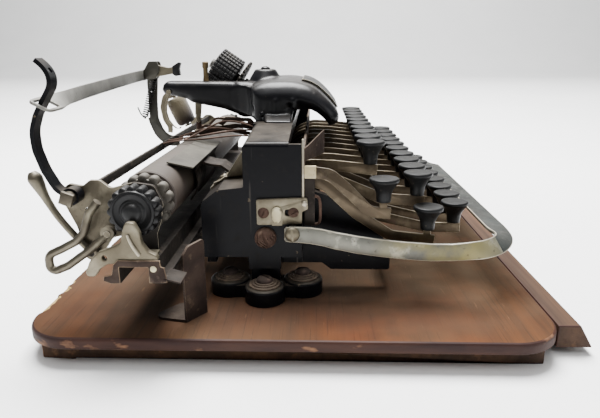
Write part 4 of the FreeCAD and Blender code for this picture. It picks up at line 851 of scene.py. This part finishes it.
def round_over(piece, curve, middle, half, radius, reach):
    """Draw the points beyond a quarter circle in, along a long outer edge that follows a curve."""
    slack, touching = 0.6, 0.05
    runs = []
    for (y0, z0), (y1, z1) in zip(curve, curve[1:]):
        start, run = Vector((y0, z0)), Vector((y1 - y0, z1 - z0))
        runs.append((start, run, run.length_squared, Vector((-run.y, run.x)).normalized()))
    for v in piece.data.vertices:
        x, y, z = v.co / MM
        aside = abs(x - middle)
        over = aside - (half - radius)
        if over <= 0 or aside > half + slack or y > reach[1] or y < reach[0]:
            continue
        spot = Vector((y, z))
        best = None
        for start, run, square, inward in runs:
            t = min(1.0, max(0.0, (spot - start).dot(run) / square))
            foot = start + run * t
            gap = (spot - foot).length
            if best is None or gap < best[0]:
                best = (gap, foot, inward)
        gap, foot, inward = best
        depth = max(0.0, (spot - foot).dot(inward))
        rise = radius - depth
        if gap > radius or rise <= 0 or hypot(over, rise) <= radius:
            continue
        ease = radius / hypot(over, rise)
        spot = foot + inward * (radius - rise * ease) if gap < touching else spot + inward * (rise * (1 - ease))
        side = 1 if x > middle else -1
        v.co = Vector((middle + side * (half - radius + over * ease), spot.x, spot.y)) * MM


def crown(piece):
    """Let the top of the hood fall away towards its two sides."""
    arm_start, fall, foot, rise = 42, 2.6, 108, 14
    for v in piece.data.vertices:
        x, y, z = v.co / MM
        if y < arm_start:
            v.co.z -= fall * (x / HOOD_HALF) ** 2 * min(1.0, max(0.0, (z - foot) / rise)) * MM


def round_rear_corners(piece, rear, radius):
    """Draw the upright rear corners of the hood in to a quarter circle."""
    for v in piece.data.vertices:
        x, y, z = v.co / MM
        over, back = abs(x) - (HOOD_HALF - radius), y - (rear - radius)
        if over > 0 and back > 0 and z > 102 and hypot(over, back) > radius:
            ease = radius / hypot(over, back)
            v.co.x = (1 if x > 0 else -1) * (HOOD_HALF - radius + over * ease) * MM
            v.co.y = (rear - radius + back * ease) * MM


def make_hood():
    """The hood and its arm, their long edges rounded and run into one another."""
    hood = copied("top_cover", "hood_casting")
    added = [block("flank_rib", (-50.9, y, z0), (-48, y + 3.4, z1), 0.5)
             for y, z0, z1 in ((20.5, 106, 120.5), (9.5, 110.5, 121))]
    for side in (-1, 1):
        web = [(-17 + side * a, y)
               for a, y in ((5, 36), (24, 36), (17, 38.6), (11.5, 42.6), (8.4, 48.5), (6.6, 57), (5, 57))]
        added.append(lofted("arm_root", [[(x, y, 104.6 + max(0, y - 43) * 0.42) for x, y in web],
                                         [(x, y, 125.4) for x, y in web]]))
    hood = joined("hood_casting", [hood] + added)
    coat(hood, ENAMEL_HOOD)
    work(hood, "REMESH", mode="VOXEL", voxel_size=0.75 * MM, use_smooth_shade=True)
    rear = max(v.co.y for v in hood.data.vertices if abs(v.co.x) > 40 * MM) / MM
    round_over(hood, HOOD_CURVE, 0.0, HOOD_HALF, 10.0, (-20, 40))
    round_rear_corners(hood, rear, 9.0)
    round_over(hood, ARM_CURVE[::-1], -17.0, 7.0, 4.2, (50, 102))
    crown(hood)
    work(hood, "SMOOTH", factor=0.5, iterations=18)
    smooth(hood, 60)
    in_place_of(hood, "top_cover")


def make_tower():
    """The main casting: cheeks, shelf, ledge, apron and feet."""
    body = copied("main_frame")
    coat(body, ENAMEL, ENAMEL_EDGE)
    flatten(body)
    for side in (-1, 1):
        xs = sorted((side * 117.0, side * 104.6))
        for y0, y1 in ((33.0, 62.0), (2.0, 15.6)):
            cut_away(body, block("skirt_gap", (xs[0], y0, 26.0), (xs[1], y1, 38.5)))
    bend = [radians(9 * i) for i in range(11)]
    for side in (-1, 1):
        near = [(-2.7 * cos(a), 2.7 * sin(a)) for a in bend]
        shelf_end = [(x - 112.3, z + 98.84) for x, z in near] + [(-112.3, 104), (-117, 104), (-117, 98.84)]
        cut_away(body, lofted("shelf_end_edge", [[(side * -x, y, z) for x, z in shelf_end] for y in (10.98, 37)]))
        rear = [(31.4 + 3.6 * cos(a), 3.6 * sin(a) - 3.58) for a in bend] + [(31.4, 2), (37, 2), (37, -3.58)]
        cut_away(body, lofted("shelf_rear_edge", [[(side * x, y, z + 101.5 + (115 - x) * 3 / 53) for y, z in rear]
                                                  for x in (117, 62.2)]))
    round_edges(body, 0.8, 32, second=True)
    smooth(body)
    level(body)
    in_place_of(body, "main_frame")


def make_comb_details():
    """Comb with its wing plate, the pale block on its left end and the post and rod below it."""
    dressed("key_comb", (BROWN_SHEET, BROWN_EDGE), 0.14, broad=False)
    pieces = (("comb_end_strip", (-115.8, 2.8, 66.5), (-115.1, 4.0, 103.4), NICKEL_EDGE, "aged_nickel"),
              ("comb_end_block", (-115.6, -3.4, 82.6), (-113.1, 2.7, 89.2), CREAM, "aged_nickel"),
              ("comb_end_post", (-115.4, -2.8, 57.0), (-113.3, 2.7, 82.5), DARK_SHEET_AND_PAINTED_SHADE, "brown_steel"))
    for name, low, high, finish, slot in pieces:
        piece = block(name, low, high, 0.35)
        coat(piece, finish)
        smooth(piece)
        mount(piece, "frame")
    run = ((0.5, 73.5), (-4.6, 73.2), (-5.6, 71.0), (-5.8, 64.0), (-5.6, 58.5), (-4.6, 57.4), (-1.0, 57.4))
    wire_part("comb_rod", [(-114.4, y, z) for y, z in run], 0.8, RUSTY, "frame", "rusty_steel")


def make_body():
    make_tower()
    make_hood()
    crown(dressed("name_plate", (KNOB_RUBBER, NICKEL_EDGE), 0.22))
    make_comb_details()
    dressed("key_pivot_shaft", (DARK_STEEL,), 0.3)
    dressed("carriage_stop_bracket", (BROWN_SHEET, BROWN_EDGE), 0.3)
    make_foot_fasteners()
    make_adjusting_plate()
    make_frame_screws()


def make_foot_fasteners():
    """Two stepped washers and a domed screw in each lobe of the feet."""
    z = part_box("foot_fasteners")[0].z / MM
    washer = turned("washer_pattern", [(8.3, 0), (8.5, 0.2), (8.5, 0.8), (8.3, 1.0), (7.2, 1.0), (7.05, 0.6),
                                       (6.9, 1.0), (6.85, 1.5), (6.65, 1.7), (5.75, 1.7), (5.6, 1.3), (5.45, 1.7),
                                       (5.4, 2.15), (5.2, 2.35), (3.0, 2.35)])
    smooth(washer, 30)
    parts = []
    for side in (-1, 1):
        for x, y in ((120.0, 24.25), (108.0, 3.75), (108.0, 44.75)):
            name = "foot_%s_%d" % ("left" if side < 0 else "right", len(parts) % 3)
            ring = again(washer, name + "_washers")
            coat(ring, WASHER)
            stand(ring, (side * x, y, z))
            parts.append(ring)
            screw(name + "_screw", (side * x, y, z + 2.5), UP, 4.5, radians(40 * len(parts) + 15), "frame", DOME)
    scrap(washer)
    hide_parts("foot_fasteners")
    for ring in parts:
        mount(ring, "frame")


def make_adjusting_plate():
    """Nickel plate on the left cheek, with a slot each side of its raised lug."""
    x = -BODY_HALF
    z = BOARD_TOP + 48.5
    plate = copied("adjusting_plate")
    coat(plate, NICKEL, NICKEL_EDGE)
    flatten(plate)
    for y0, y1 in ((22.6, 27.4), (6.0, 13.2)):
        slot = block("plate_slot", (x - 3, y0, z - 1.9), (x + 0.6, y1, z + 1.9))
        round_edges(slot, 1.2, 30, 3)
        cut_away(plate, slot)
    round_edges(plate, 0.35, second=True)
    smooth(plate)
    in_place_of(plate, "adjusting_plate")
    lug = turned("plate_lug", [(2.5, 0), (2.8, 0.6), (2.8, 1.8), (2.3, 2.8), (1.4, 3.3), (0.5, 3.4)])
    smooth(lug, 50)
    stand(lug, (0, 0, 0), LEFT)
    for v in lug.data.vertices:
        v.co.z *= 1.75 if v.co.z < 0 else 1.3
    lug.location = Vector((x - 1.8, 17.3, z - 0.4)) * MM
    settle(lug)
    coat(lug, CREAM)
    mount(lug, "frame")
    turned_part("plate_pin", [(1.5, 0), (1.5, 1.0), (1.2, 1.5), (0.6, 1.7)], (x - 2.0, 2.6, z + 5.1), LEFT, NICKEL_EDGE,
                "frame", 20)


def make_frame_screws():
    x = -BODY_HALF
    z = BOARD_TOP
    screws = [("plate_screw_rear", (x - 1.0, 24.4, z + 48.3), LEFT, 3.3, 65, RUSTY),
              ("plate_screw_front", (x - 1.0, 8.4, z + 48.6), LEFT, 3.1, 35, RUSTY),
              ("hood_flank_screw", (-50.0, 30.6, 108.6), LEFT, 1.7, 20, ENAMEL_HOOD),
              ("bar_screw_left", (-121.8, 9.0, 54.0), LEFT, 4.0, 96, NICKEL),
              ("bar_screw_right", (121.8, 9.0, 54.0), -LEFT, 4.0, 0, NICKEL),
              ("turret_nut", (-11.0, 31.5, 134.9), UP, 3.2, 30, ENAMEL_HOOD)]
    made = [screw(name, place, axis, radius, radians(turn), "frame", finish)
            for name, place, axis, radius, turn, finish in screws]
    fluted = turned("fluted_screw", [(5.9, 0), (5.9, 1.2), (5.5, 2.2), (4.6, 3.2), (3.2, 3.9), (1.4, 4.3)], 48)
    for i in range(-3, 4):
        if i == 0:
            continue
        for turn in (-1, 1):
            groove = block("flute", (-6, -0.28, -0.6), (0.1, 0.28, 3))
            lift = 4.4 - 0.115 * abs(i * 1.35) ** 1.9
            groove.matrix_world = (Matrix.Translation(Vector((0, 1.5 * i, lift)) * MM)
                                   @ Matrix.Rotation(radians(28 * turn) + (pi if turn < 0 else 0), 4, "Z"))
            settle(groove)
            cut_away(fluted, groove)
    cut_away(fluted, block("fluted_slot", (-7, -0.6, 3.0), (7, 0.6, 6)))
    coat(fluted, RUSTY)
    smooth(fluted)
    stand(fluted, (x, 23.7, z + 33.9), LEFT, radians(115))
    mount(fluted, "frame")
    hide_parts("frame_screws")


# ---- the keyboard ------------------------------------------------------------------------------
def make_cap_pattern():
    """A round-topped cap with a thin lip, waisted down to a narrow stem."""
    cap = turned("cap_pattern", [(3.6, 0.0), (3.8, 0.3), (3.9, 1.8), (4.15, 4.6), (4.9, 6.6), (6.0, 8.6), (7.0, 10.0),
                                 (7.7, 10.8), (8.0, 11.4), (8.0, 12.1), (7.8, 12.6), (7.4, 12.9), (6.8, 13.0),
                                 (6.4, 12.85), (4.0, 12.65), (1.2, 12.55)])
    smooth(cap, 40)
    return cap


def make_keys():
    cap_pattern = make_cap_pattern()
    for node in sorted(nodes):
        if not (node.startswith("row") or node.startswith("shift_key")):
            continue
        strip = copied(node, node + "_lever")
        coat(strip, LEVER_STEEL, LEVER_EDGE)
        points = [v.co / MM for v in strip.data.vertices]
        shell = max(islands(strip), key=lambda held: max(points[v].x for v in held) - min(points[v].x for v in held))
        x, y = ((max(points[v][i] for v in shell) + min(points[v][i] for v in shell)) / 2 for i in (0, 1))
        top = max(points[v].z for v in shell)
        drop_islands(strip, lambda c, x=x, y=y, top=top: hypot(c.x - x, c.y - y) < 3 and abs(c.z - top) < CAP_H)
        flatten(strip)
        round_edges(strip, 0.3, second=True)
        smooth(strip)
        in_place_of(strip, node)
        cap = again(cap_pattern, node + "_cap")
        coat(cap, CAP)
        stand(cap, (x, y, top - CAP_H))
        mount(cap, carried_by[node])
    scrap(cap_pattern)


# ---- the space bar -----------------------------------------------------------------------------
def bar_sections():
    """Sections of the strip from the left pivot to the middle of the front."""
    half_t = BAR_STRIP_T / 2
    edges = [(13.2, 50.8, 56.6), (12.4, 49.8, 57.6), (10.0, 49.4, 58.0), (5.0, 49.1, 57.9), (-0.3, 48.6, 57.7),
             (-7.0, 47.4, 56.7), (-13.5, 45.6, 55.2), (-25.0, 43.3, 53.1), (-37.0, 41.6, 51.4), (-50.0, 40.2, 50.0),
             (-63.5, 39.3, 49.1), (-75.0, 39.4, 49.0)]
    sections = []
    for y, low, high in edges:
        x = -BAR_CENTRE_X
        sections.append([(x - half_t, y, low), (x - half_t, y, high), (x + half_t, y, high), (x + half_t, y, low)])
    steps, side_y, side_z = 26, -75.0, 44.2
    bend, bend_run, front, front_run = 0.2, 0.62, 0.82, 0.18  # where each begins and how long it is, as shares
    for i in range(1, steps + 1):
        run = i / steps
        a = max(0.0, min(1.0, (run - bend) / bend_run)) * pi / 2
        twist = (1 - cos(run * pi)) / 2 * pi / 2
        radial = 24.0 - 4.5 * run
        if run < bend:
            spot = Vector((BAR_TURN_X - radial, side_y + (BAR_TURN_Y - side_y) * run / bend, 0))
            out = Vector((-1, 0, 0))
        else:
            out = Vector((-cos(a), -sin(a), 0))
            spot = Vector((BAR_TURN_X, BAR_TURN_Y, 0)) + out * radial
            if run > front:
                spot.x += (run - front) / front_run * 9.0
        half_w = 4.8 + 0.7 * run
        spot.z = side_z + (BAR_FRONT_Z - side_z) * run
        wide = UP * cos(twist) - out * sin(twist)
        thick = out * cos(twist) + UP * sin(twist)
        corners = ((1, -1), (1, 1), (-1, 1), (-1, -1))
        sections.append([spot + thick * half_t * t + wide * half_w * w for t, w in corners])
    return sections


def make_space_bar():
    """A strip on edge along both sides that twists flat round the front of the keyboard."""
    left = bar_sections()
    right = [[(-p[0], p[1], p[2]) for p in section] for section in reversed(left)]
    bar = lofted("space_bar_strip", left + right)
    coat(bar, BAR_STEEL, NICKEL_EDGE, BAR_TOP_PAINTED_REFLECTION)
    # The top faces of the flat front take the dark finish, a painted reflection.
    pick(bar, 2, lambda c, n: n.z > 0.6 and c.y < -80)
    round_edges(bar, 0.45, 40, second=True)
    smooth(bar, 40)
    in_place_of(bar, "space_bar")


# ---- the carriage ------------------------------------------------------------------------------
CARD_OUT, CARD_REACH = Vector((0, -sin(radians(12)), cos(radians(12)))), 15.1


def make_carriage():
    dressed("carriage_rail", (DARK_STEEL, DARK_SHEET_AND_PAINTED_SHADE), 0.4)
    channel = dressed("carriage_frame", (END_NICKEL, NICKEL_EDGE, DARK_SHEET_AND_PAINTED_SHADE, ROD_STEEL), 0.3)
    # Painted shade: the channel's inner side faces, its middle between the end plates and its lower part take the dark
    # finish, standing for the shade they lie in.
    pick(channel, 2, lambda c, n: c.y < 86 and abs(n.x) < 0.9)
    pick(channel, 2, lambda c, n: abs(c.x) < 139.3)
    pick(channel, 2, lambda c, n: c.z < 52.9)
    pick(channel, 3, lambda c, n: c.x < -142.2 and c.z > 70)
    make_end_casting()
    make_paper_rest()
    dressed("paper_finger", (NICKEL, NICKEL_EDGE), 0.35)
    nib = ((99.2, 136.6), (94.6, 139.4), (93.0, 138.8), (94.3, 134.8), (93.8, 130.3), (97.2, 129.8), (99.2, 131.0))
    cut_sheet("paper_finger_nib", nib, 3.3, 7.1, (KNOB_RUBBER,), 0.3, "finger")
    nut = block("stub_nut", (-153.4, -3.1, -3.1), (-151.0, 3.1, 3.1), 0.5)
    nut.matrix_world = Matrix.Translation(Vector((0, 112, 81)) * MM) @ Matrix.Rotation(radians(20), 4, "X")
    settle(nut)
    coat(nut, ROD_STEEL)
    smooth(nut)
    mount(nut, "carriage")
    card = dressed("paper_deflector", (DARK_SHEET_AND_PAINTED_SHADE, BROWN_SHEET, CARD), 0.2)
    y, z = PLATEN_AXIS
    pick(card, 2, lambda c, n: abs(CARD_OUT.y * (c.y - y) + CARD_OUT.z * (c.z - z) - CARD_REACH) < 0.9)
    dressed("paper_fingers", (RUSTY, BROWN_EDGE), 0.25)
    make_ledge_bracket()
    make_guide_wires()
    make_finger_spring()
    make_platen()
    make_ratchet()
    make_levers()


def make_end_casting():
    """Pitted casting on the carriage's left end; the brown plate across its foot is notched over the rail."""
    casting = copied("carriage_end_bracket")
    coat(casting, NICKEL)
    cast(casting, 0.35, 5)
    in_place_of(casting, "carriage_end_bracket")
    outline = ((89.4, 52.6), (87.2, 54.9), (67.6, 54.9), (67.4, 51.8), (65.8, 51.4), (64.8, 44.0), (73.2, 43.75),
               (73.2, 51.5), (86.8, 51.5), (86.8, 43.4), (91.0, 43.2), (94.6, 44.6), (94.2, 46.8), (90.6, 47.6))
    cut_sheet("end_plate_brown", outline, END_PLATE_X, -161.7, (BROWN_SHEET, BROWN_EDGE), 0.25, "carriage")
    cut_sheet("end_plate_flange", ((66.4, 45.4), (66.4, 46.3), (58.6, 44.2), (58.6, 43.3)), END_PLATE_X, -150,
              (DARK_SHEET_AND_PAINTED_SHADE, BROWN_SHEET), 0.2, "carriage")
    turned_part("end_plate_rivet", [(1.5, 0), (1.4, 0.4), (0.9, 0.8), (0.3, 0.9)], (END_PLATE_X, 70.8, 50.8), LEFT,
                CREAM, "carriage", 20)
    wire_part("casting_rib", [(-161.8, 77.0, 57.0), (-162.2, 80.5, 62.5), (-162.2, 81.6, 67.0)], 0.9, NICKEL_EDGE,
              "carriage", "aged_nickel", thick=[1, 1.1, 0.6])


STRAP_PATH = ((10.5, 120.1, 130.9, 0, 3.5), (-20, 120.1, 129.9, 0, 3.5), (-50, 120.1, 128.6, 0, 3.5),
              (-80, 120.1, 127.2, 0, 3.5), (-100, 120.1, 126.2, 2, 3.5), (-114, 120.1, 125.3, 10, 3.5),
              (-122, 120.0, 124.8, 24, 3.5), (-128, 119.9, 124.4, 42, 3.9), (-133, 119.8, 124.0, 56, 4.6),
              (-138, 119.8, 123.7, 62, 5.4), (-146, 119.8, 123.4, 63, 5.4), (-149.6, 119.8, 123.3, 63, 5.0),
              (-151.2, 119.8, 123.2, 63, 3.6))
STRAP_T = 0.6


def make_paper_rest():
    """Rear bar, upright and head, and the long strap whose twisted end is slotted for the bowed arm."""
    rest = copied("paper_rest_frame")
    coat(rest, GREY_STEEL, NICKEL_EDGE, DULL_STEEL, DARK_STEEL)
    drop_islands(rest, lambda c: 100 < c.z < 124 and abs(c.x - 4.9) < 0.6 and 114 < c.y < 120)
    flatten(rest)
    cut_away(rest, block("old_strap", (-160, 108, 115), (1.5, 132, 145)))
    cut_away(rest, block("upright_trim", (4, 119.2, 100), (12, 124, 127)))
    round_edges(rest, 0.25, second=True)
    pick(rest, 2, lambda c, n: c.z > 87 and c.x > -10)
    pick(rest, 3, lambda c, n: c.z < 87)
    smooth(rest)
    in_place_of(rest, "paper_rest_frame")
    sections = []
    for x, y, z, roll, half in STRAP_PATH:
        a = radians(roll)
        wide, thick = Vector((0, sin(a), cos(a))), Vector((0, -cos(a), sin(a)))
        middle = Vector((x, y, z))
        sections.append([middle + wide * half * u + thick * STRAP_T * v
                         for u, v in ((1, 1), (-1, 1), (-1, -1), (1, -1))])
    strap = lofted("paper_rest_strap", sections)
    slot = block("strap_slot", (-6.3, -2, -4.1), (5.4, 2, 3.8))
    round_edges(slot, 1.1, 30, 4)
    slot.matrix_world = (Matrix.Translation(Vector((-143.6, 119.8, 123.5)) * MM)
                         @ Matrix.Rotation(radians(-63), 4, "X"))
    settle(slot)
    cut_away(strap, slot)
    eased(strap, (GREY_STEEL, NICKEL_EDGE), 0.3, "carriage")
    dressed("paper_rest_arm", (ENAMEL, ENAMEL_EDGE), 0.35)


def make_ledge_bracket():
    """Small nickel angle on the rear ledge, with its leaf behind the shelf and a screw in its foot."""
    leaf = ((36.2, 75.9), (36.2, 92.5), (39.0, 92.0), (47.5, 79.0), (47.5, 77.3), (55.5, 74.2), (55.5, 71.9),
            (46.0, 75.4))
    foot = ((36.5, 77.5), (48.6, 76.2), (57.4, 69.8), (57.4, 71.4), (48.8, 77.9), (36.5, 79.1))
    for name, outline, x in (("ledge_bracket_leaf", leaf, -88.2), ("ledge_bracket_foot", foot, -64)):
        cut_sheet(name, outline, -90.0, x, (NICKEL, NICKEL_EDGE), 0.25, "frame")
    screw("ledge_bracket_screw", (-84.0, 50.6, 76.4), (0, 0.55, 0.84), 2.4, 0.5, "frame", NICKEL)


GUIDE_WIRES = (
    ((-26, 35, 95.5), (-30, 46, 96.5), (-36, 60, 95.5), (-38, 74, 93.0), (-34, 86, 91.2), (-28, 97, 88.6)),
    ((-40, 35, 93.5), (-44, 48, 95.0), (-52, 62, 94.0), (-50, 76, 92.4), (-40, 88, 90.8), (-36, 98, 88.0)),
    ((-21, 35, 92.0), (-22, 48, 94.0), (-27, 58, 97.0), (-30, 70, 97.5), (-26, 80, 94.0), (-24, 90, 90.6)),
    ((-34, 35, 97.5), (-33, 44, 101.0), (-30, 55, 103.0), (-28, 64, 100.5), (-34, 74, 95.0), (-44, 82, 91.6)))
LINK_UPPER = ((37.0, 99.2), (41.0, 103.4), (58.0, 104.2), (63.0, 99.6), (60.0, 98.2), (56.0, 101.8), (43.0, 101.0),
              (40.0, 97.6))
LINK_LOWER = ((36.0, 95.0), (50.0, 96.6), (76.4, 91.6), (78.4, 93.8), (76.0, 95.8), (52.0, 99.4), (36.0, 98.2))
HANGER = ((74.6, 113.6), (79.2, 114.2), (79.6, 106.0), (78.8, 100.6), (77.6, 99.6), (76.4, 100.4), (75.4, 106.0))


def make_guide_wires():
    """Rusty guide wires and link plates that reach from the rear wall over the platen."""
    for i, points in enumerate(GUIDE_WIRES):
        wire_part("guide_wire_%d" % (i + 1), points, 0.55 if i % 2 else 0.7, RUSTY, "frame", "rusty_steel")
    for name, outline, x in (("link_plate_upper", LINK_UPPER, -24.6), ("link_plate_lower", LINK_LOWER, -22.8)):
        cut_sheet(name, outline, x, x + 1.2, (BROWN_SHEET, BROWN_EDGE), 0.2, "frame")
    screw("link_plate_screw", (-24.6, 41.0, 100.4), LEFT, 2.2, 0.6, "frame", RUSTY)
    cut_sheet("arm_hanger", HANGER, -19.4, -18.0, (NICKEL, NICKEL_EDGE), 0.2, "frame")
    turned_part("arm_post", [(2.2, 0), (1.7, 3.0), (1.6, 8.4), (2.1, 9.2), (2.1, 12.4), (1.6, 12.8)],
                (-17.0, 71.4, 127.2), UP, BRASS, "frame", 24, 40)


def make_finger_spring():
    """Thin coil that pulls the paper finger down, with a hook at its foot."""
    foot, head = Vector((3.4, 121.6, 101.0)), Vector((3.4, 113.2, 127.0))
    turns, per_turn, radius = 17, 10, 2.0
    along = head - foot
    side = Vector((1, 0, 0))
    back = along.normalized().cross(side)
    points = [foot + Vector((0, 4.6, 7.0)), foot + Vector((0, 3.4, 3.0)), foot + Vector((0, 1.4, 0.4)),
              foot + Vector((0, -0.4, -1.4))]
    for i in range(turns * per_turn + 1):
        a = 2 * pi * i / per_turn
        points.append(foot + along * (i / (turns * per_turn)) + (side * cos(a) + back * sin(a)) * radius)
    points += [head + Vector((0, -0.4, 1.6)), head + Vector((0.6, -0.6, 3.6)), head + Vector((1.2, 0.6, 5.0))]
    wire_part("finger_spring", points, 0.5, KNOB_RUBBER, "carriage", "aged_nickel", sides=2, order=3)


def make_platen():
    y, z = PLATEN_AXIS
    end = [(3.0, 0.0), (12.6, 0.0), (13.5, 0.2), (14.0, 0.9)]
    sleeve = ([(r, h - PLATEN_HALF) for r, h in end + [(14.0, 3.0), (13.8, 3.3), (14.0, 3.6)]]
              + [(14.0, -60), (14.0, 0), (14.0, 60)] + [(r, PLATEN_HALF - h) for r, h in reversed(end)])
    roller = turned_part("platen_sleeve", sleeve, (0, y, z), LEFT, PLATEN, "platen", 64)
    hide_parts("platen_roller")
    turned_part("platen_axle", [(2.6, -156), (3.0, -155.5), (3.0, 155.5), (2.6, 156)], (0, y, z), LEFT, DARK_STEEL,
                "platen", 32)
    rim = turned("knob_rim", [(11.6, 0), (12.6, 0.4), (13.0, 1.2), (13.0, 7.0), (12.8, 7.8), (12.2, 8.3), (11.2, 8.6)],
                 192, KNOB_LOBES, 1.5)
    face = turned("knob_face", [(11.0, 6.0), (11.0, 8.5), (10.6, 9.2), (9.6, 9.4), (9.2, 9.0), (8.8, 8.7), (6.6, 8.6),
                                (6.2, 8.9), (5.9, 9.3), (5.2, 9.4), (4.8, 9.8), (4.4, 10.8), (3.3, 11.6), (1.8, 12.0),
                                (0.6, 12.0)], 56)
    knob = joined("knob_pattern", [rim, face])
    smooth(knob)
    for side, name in ((-1, "platen_knob_left"), (1, "platen_knob_right")):
        piece = again(knob, name)
        coat(piece, KNOB_RUBBER)
        stand(piece, (side * KNOB_PLACE, y, z), (side, 0, 0), 0, 11.5 / 12.0)
        mount(piece, "platen")
        if side < 0:
            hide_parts("platen_knobs")
    scrap(knob)


def make_ratchet():
    """Nickel wheel with bead-like lobes, on the platen's left end."""
    y, z = PLATEN_AXIS
    core = turned("ratchet_core", [(11.6, 0.2), (12.0, 0.8), (12.0, 5.4), (11.6, 6.0), (9.4, 6.0), (9.0, 5.4),
                                   (7.0, 5.2), (6.6, 6.0), (4.0, 6.2)], 56)
    lobe = turned("ratchet_lobe", [(1.0, 0.0), (2.0, 0.25), (2.6, 1.0), (2.75, 2.0), (2.75, 4.2), (2.6, 5.2),
                                   (2.0, 5.9), (1.0, 6.2)], 20)
    lobes = []
    for i in range(RATCHET_LOBES):
        piece = again(lobe, "ratchet_lobe")
        a = 2 * pi * (i + 0.5) / RATCHET_LOBES
        stand(piece, (11.45 * cos(a), 11.45 * sin(a), 0))
        lobes.append(piece)
    scrap(lobe)
    wheel = joined("ratchet_lobes", [core] + lobes)
    coat(wheel, LOBE_METAL)
    smooth(wheel, 40)
    stand(wheel, (RATCHET_PLACE, y, z), LEFT)
    in_place_of(wheel, "ratchet_wheel")
    turned_part("ratchet_flange", [(12.0, 0), (12.4, 0.3), (12.4, 1.9), (4, 2.0)], (RATCHET_PLACE + 1.9, y, z), LEFT,
                DARK_STEEL, "platen", 48)


def make_levers():
    x = -143.8
    run = [(106.5, 51.5), (110.5, 56.0), (115.3, 61.5), (121.4, 70.0), (125.0, 77.0), (127.0, 81.5), (129.2, 87.0),
           (130.4, 90.0), (131.2, 92.0)]
    thick = [1.0, 1.0, 1.0, 1.0, 1.05, 1.3, 1.95, 2.1, 0.9]
    rod = bent_wire("line_lever_rod", [(x, y, z) for y, z in run], 1.75, thick, 6, 3)
    eye = turned("line_lever_eye", [(3.0, -1.5), (3.4, -1.1), (3.4, 1.1), (3.0, 1.5), (1.7, 1.6)], 28)
    stand(eye, (x, 106.5, 51.5), LEFT)
    lever = joined("line_lever", [rod, eye])
    coat(lever, ROD_STEEL)
    smooth(lever, 45)
    in_place_of(lever, "line_space_lever")
    piece = copied("release_lever")
    coat(piece, ROD_STEEL)
    smooth(piece, 50)
    in_place_of(piece, "release_lever")


# ---- the type wheel and the inking -------------------------------------------------------------
def make_type_wheel():
    """Wheel with rows of raised faces round it, and the toothed index disc in front."""
    axis = Vector((0, cos(WHEEL_TILT), sin(WHEEL_TILT)))
    core = turned("type_wheel_core", [(4.2, -8.75), (11.6, -8.75), (12.4, -8.3), (12.6, -7.6), (12.6, 7.6), (12.4, 8.3),
                                      (11.6, 8.75), (8.5, 8.75), (8.0, 8.2), (5.0, 8.2), (4.6, 9.0), (3.0, 9.2)], 56)
    face = block("type_face", (-0.95, -0.85, 0), (0.95, 0.85, 1.4))
    work(face, "BEVEL", width=0.22 * MM, segments=1, limit_method="ANGLE", angle_limit=radians(30))
    faces = []
    columns, rows = 28, 7
    for i in range(columns):
        for j in range(rows):
            piece = again(face, "type_face")
            a = 2 * pi * i / columns
            up = Matrix.Rotation(a, 4, "Z") @ Matrix.Translation(Vector((12.5, 0, -7.2 + 2.4 * j)) * MM)
            piece.matrix_world = up @ Matrix.Rotation(radians(90), 4, "Y")
            faces.append(piece)
    scrap(face)
    wheel = joined("type_wheel_faces", [core] + faces)
    coat(wheel, WHEEL_RUBBER)
    settle(wheel)
    smooth(wheel)
    stand(wheel, WHEEL_CENTRE, axis)
    in_place_of(wheel, "type_wheel")
    turned_part("index_disc", [(15.6, -12.95), (16.2, -12.8), (16.2, -11.5), (15.6, -11.35), (4.4, -11.3), (4.2, -8.7)],
                WHEEL_CENTRE, axis, DARK_STEEL, "wheel", 224, 40, columns, 1.4)
    dressed("type_arm", (DARK_STEEL, GREY_STEEL), 0.4)
    dressed("type_wheel_shaft", (GREY_STEEL,), 0.3)
    turned_part("wheel_nut", [(3.2, 9.4), (3.5, 9.6), (3.4, 10.3), (2.4, 10.7), (1.2, 10.8)], WHEEL_CENTRE, axis,
                DARK_STEEL, "type_shaft", 28, 50)


INK_HOOK = ((-9.2, 96.6, 119.0), (-9.3, 99.4, 117.0), (-9.4, 101.6, 112.0), (-9.4, 102.2, 106.0), (-9.4, 100.8, 100.6),
            (-9.4, 98.0, 96.6), (-9.4, 95.6, 94.6), (-9.4, 93.4, 94.2), (-9.4, 92.4, 95.6))


def make_inking():
    axis = Vector((0, cos(INK_TILT), sin(INK_TILT)))
    felt = [(1.4, -10.0), (4.2, -10.0), (5.6, -9.4), (6.5, -8.0), (6.95, -5.5), (7.0, -2.0), (7.0, 6.0), (6.8, 8.6),
            (6.0, 9.7), (4.6, 10.0), (1.4, 10.0)]
    roller = turned_part("ink_roller_felt", felt, INK_CENTRE, axis, FELT, "inker", 48, 45)
    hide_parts("ink_roller")
    dressed("ink_arm", (NICKEL, NICKEL_EDGE), 0.25)
    corners = ((-0.5, -0.7), (-0.5, 0.7), (0.5, 0.7), (0.5, -0.7))
    hook = [[(x + a, y + b, z) for a, b in corners] for x, y, z in INK_HOOK]
    eased(lofted("ink_hook", hook), (NICKEL, NICKEL_EDGE), 0.25, "ink_carrier", 40, 45)


set_camera()
set_lights()
set_floor()
make_base()
make_body()
make_keys()
make_space_bar()
make_carriage()
make_type_wheel()
make_inking()
scrap(SCREW)
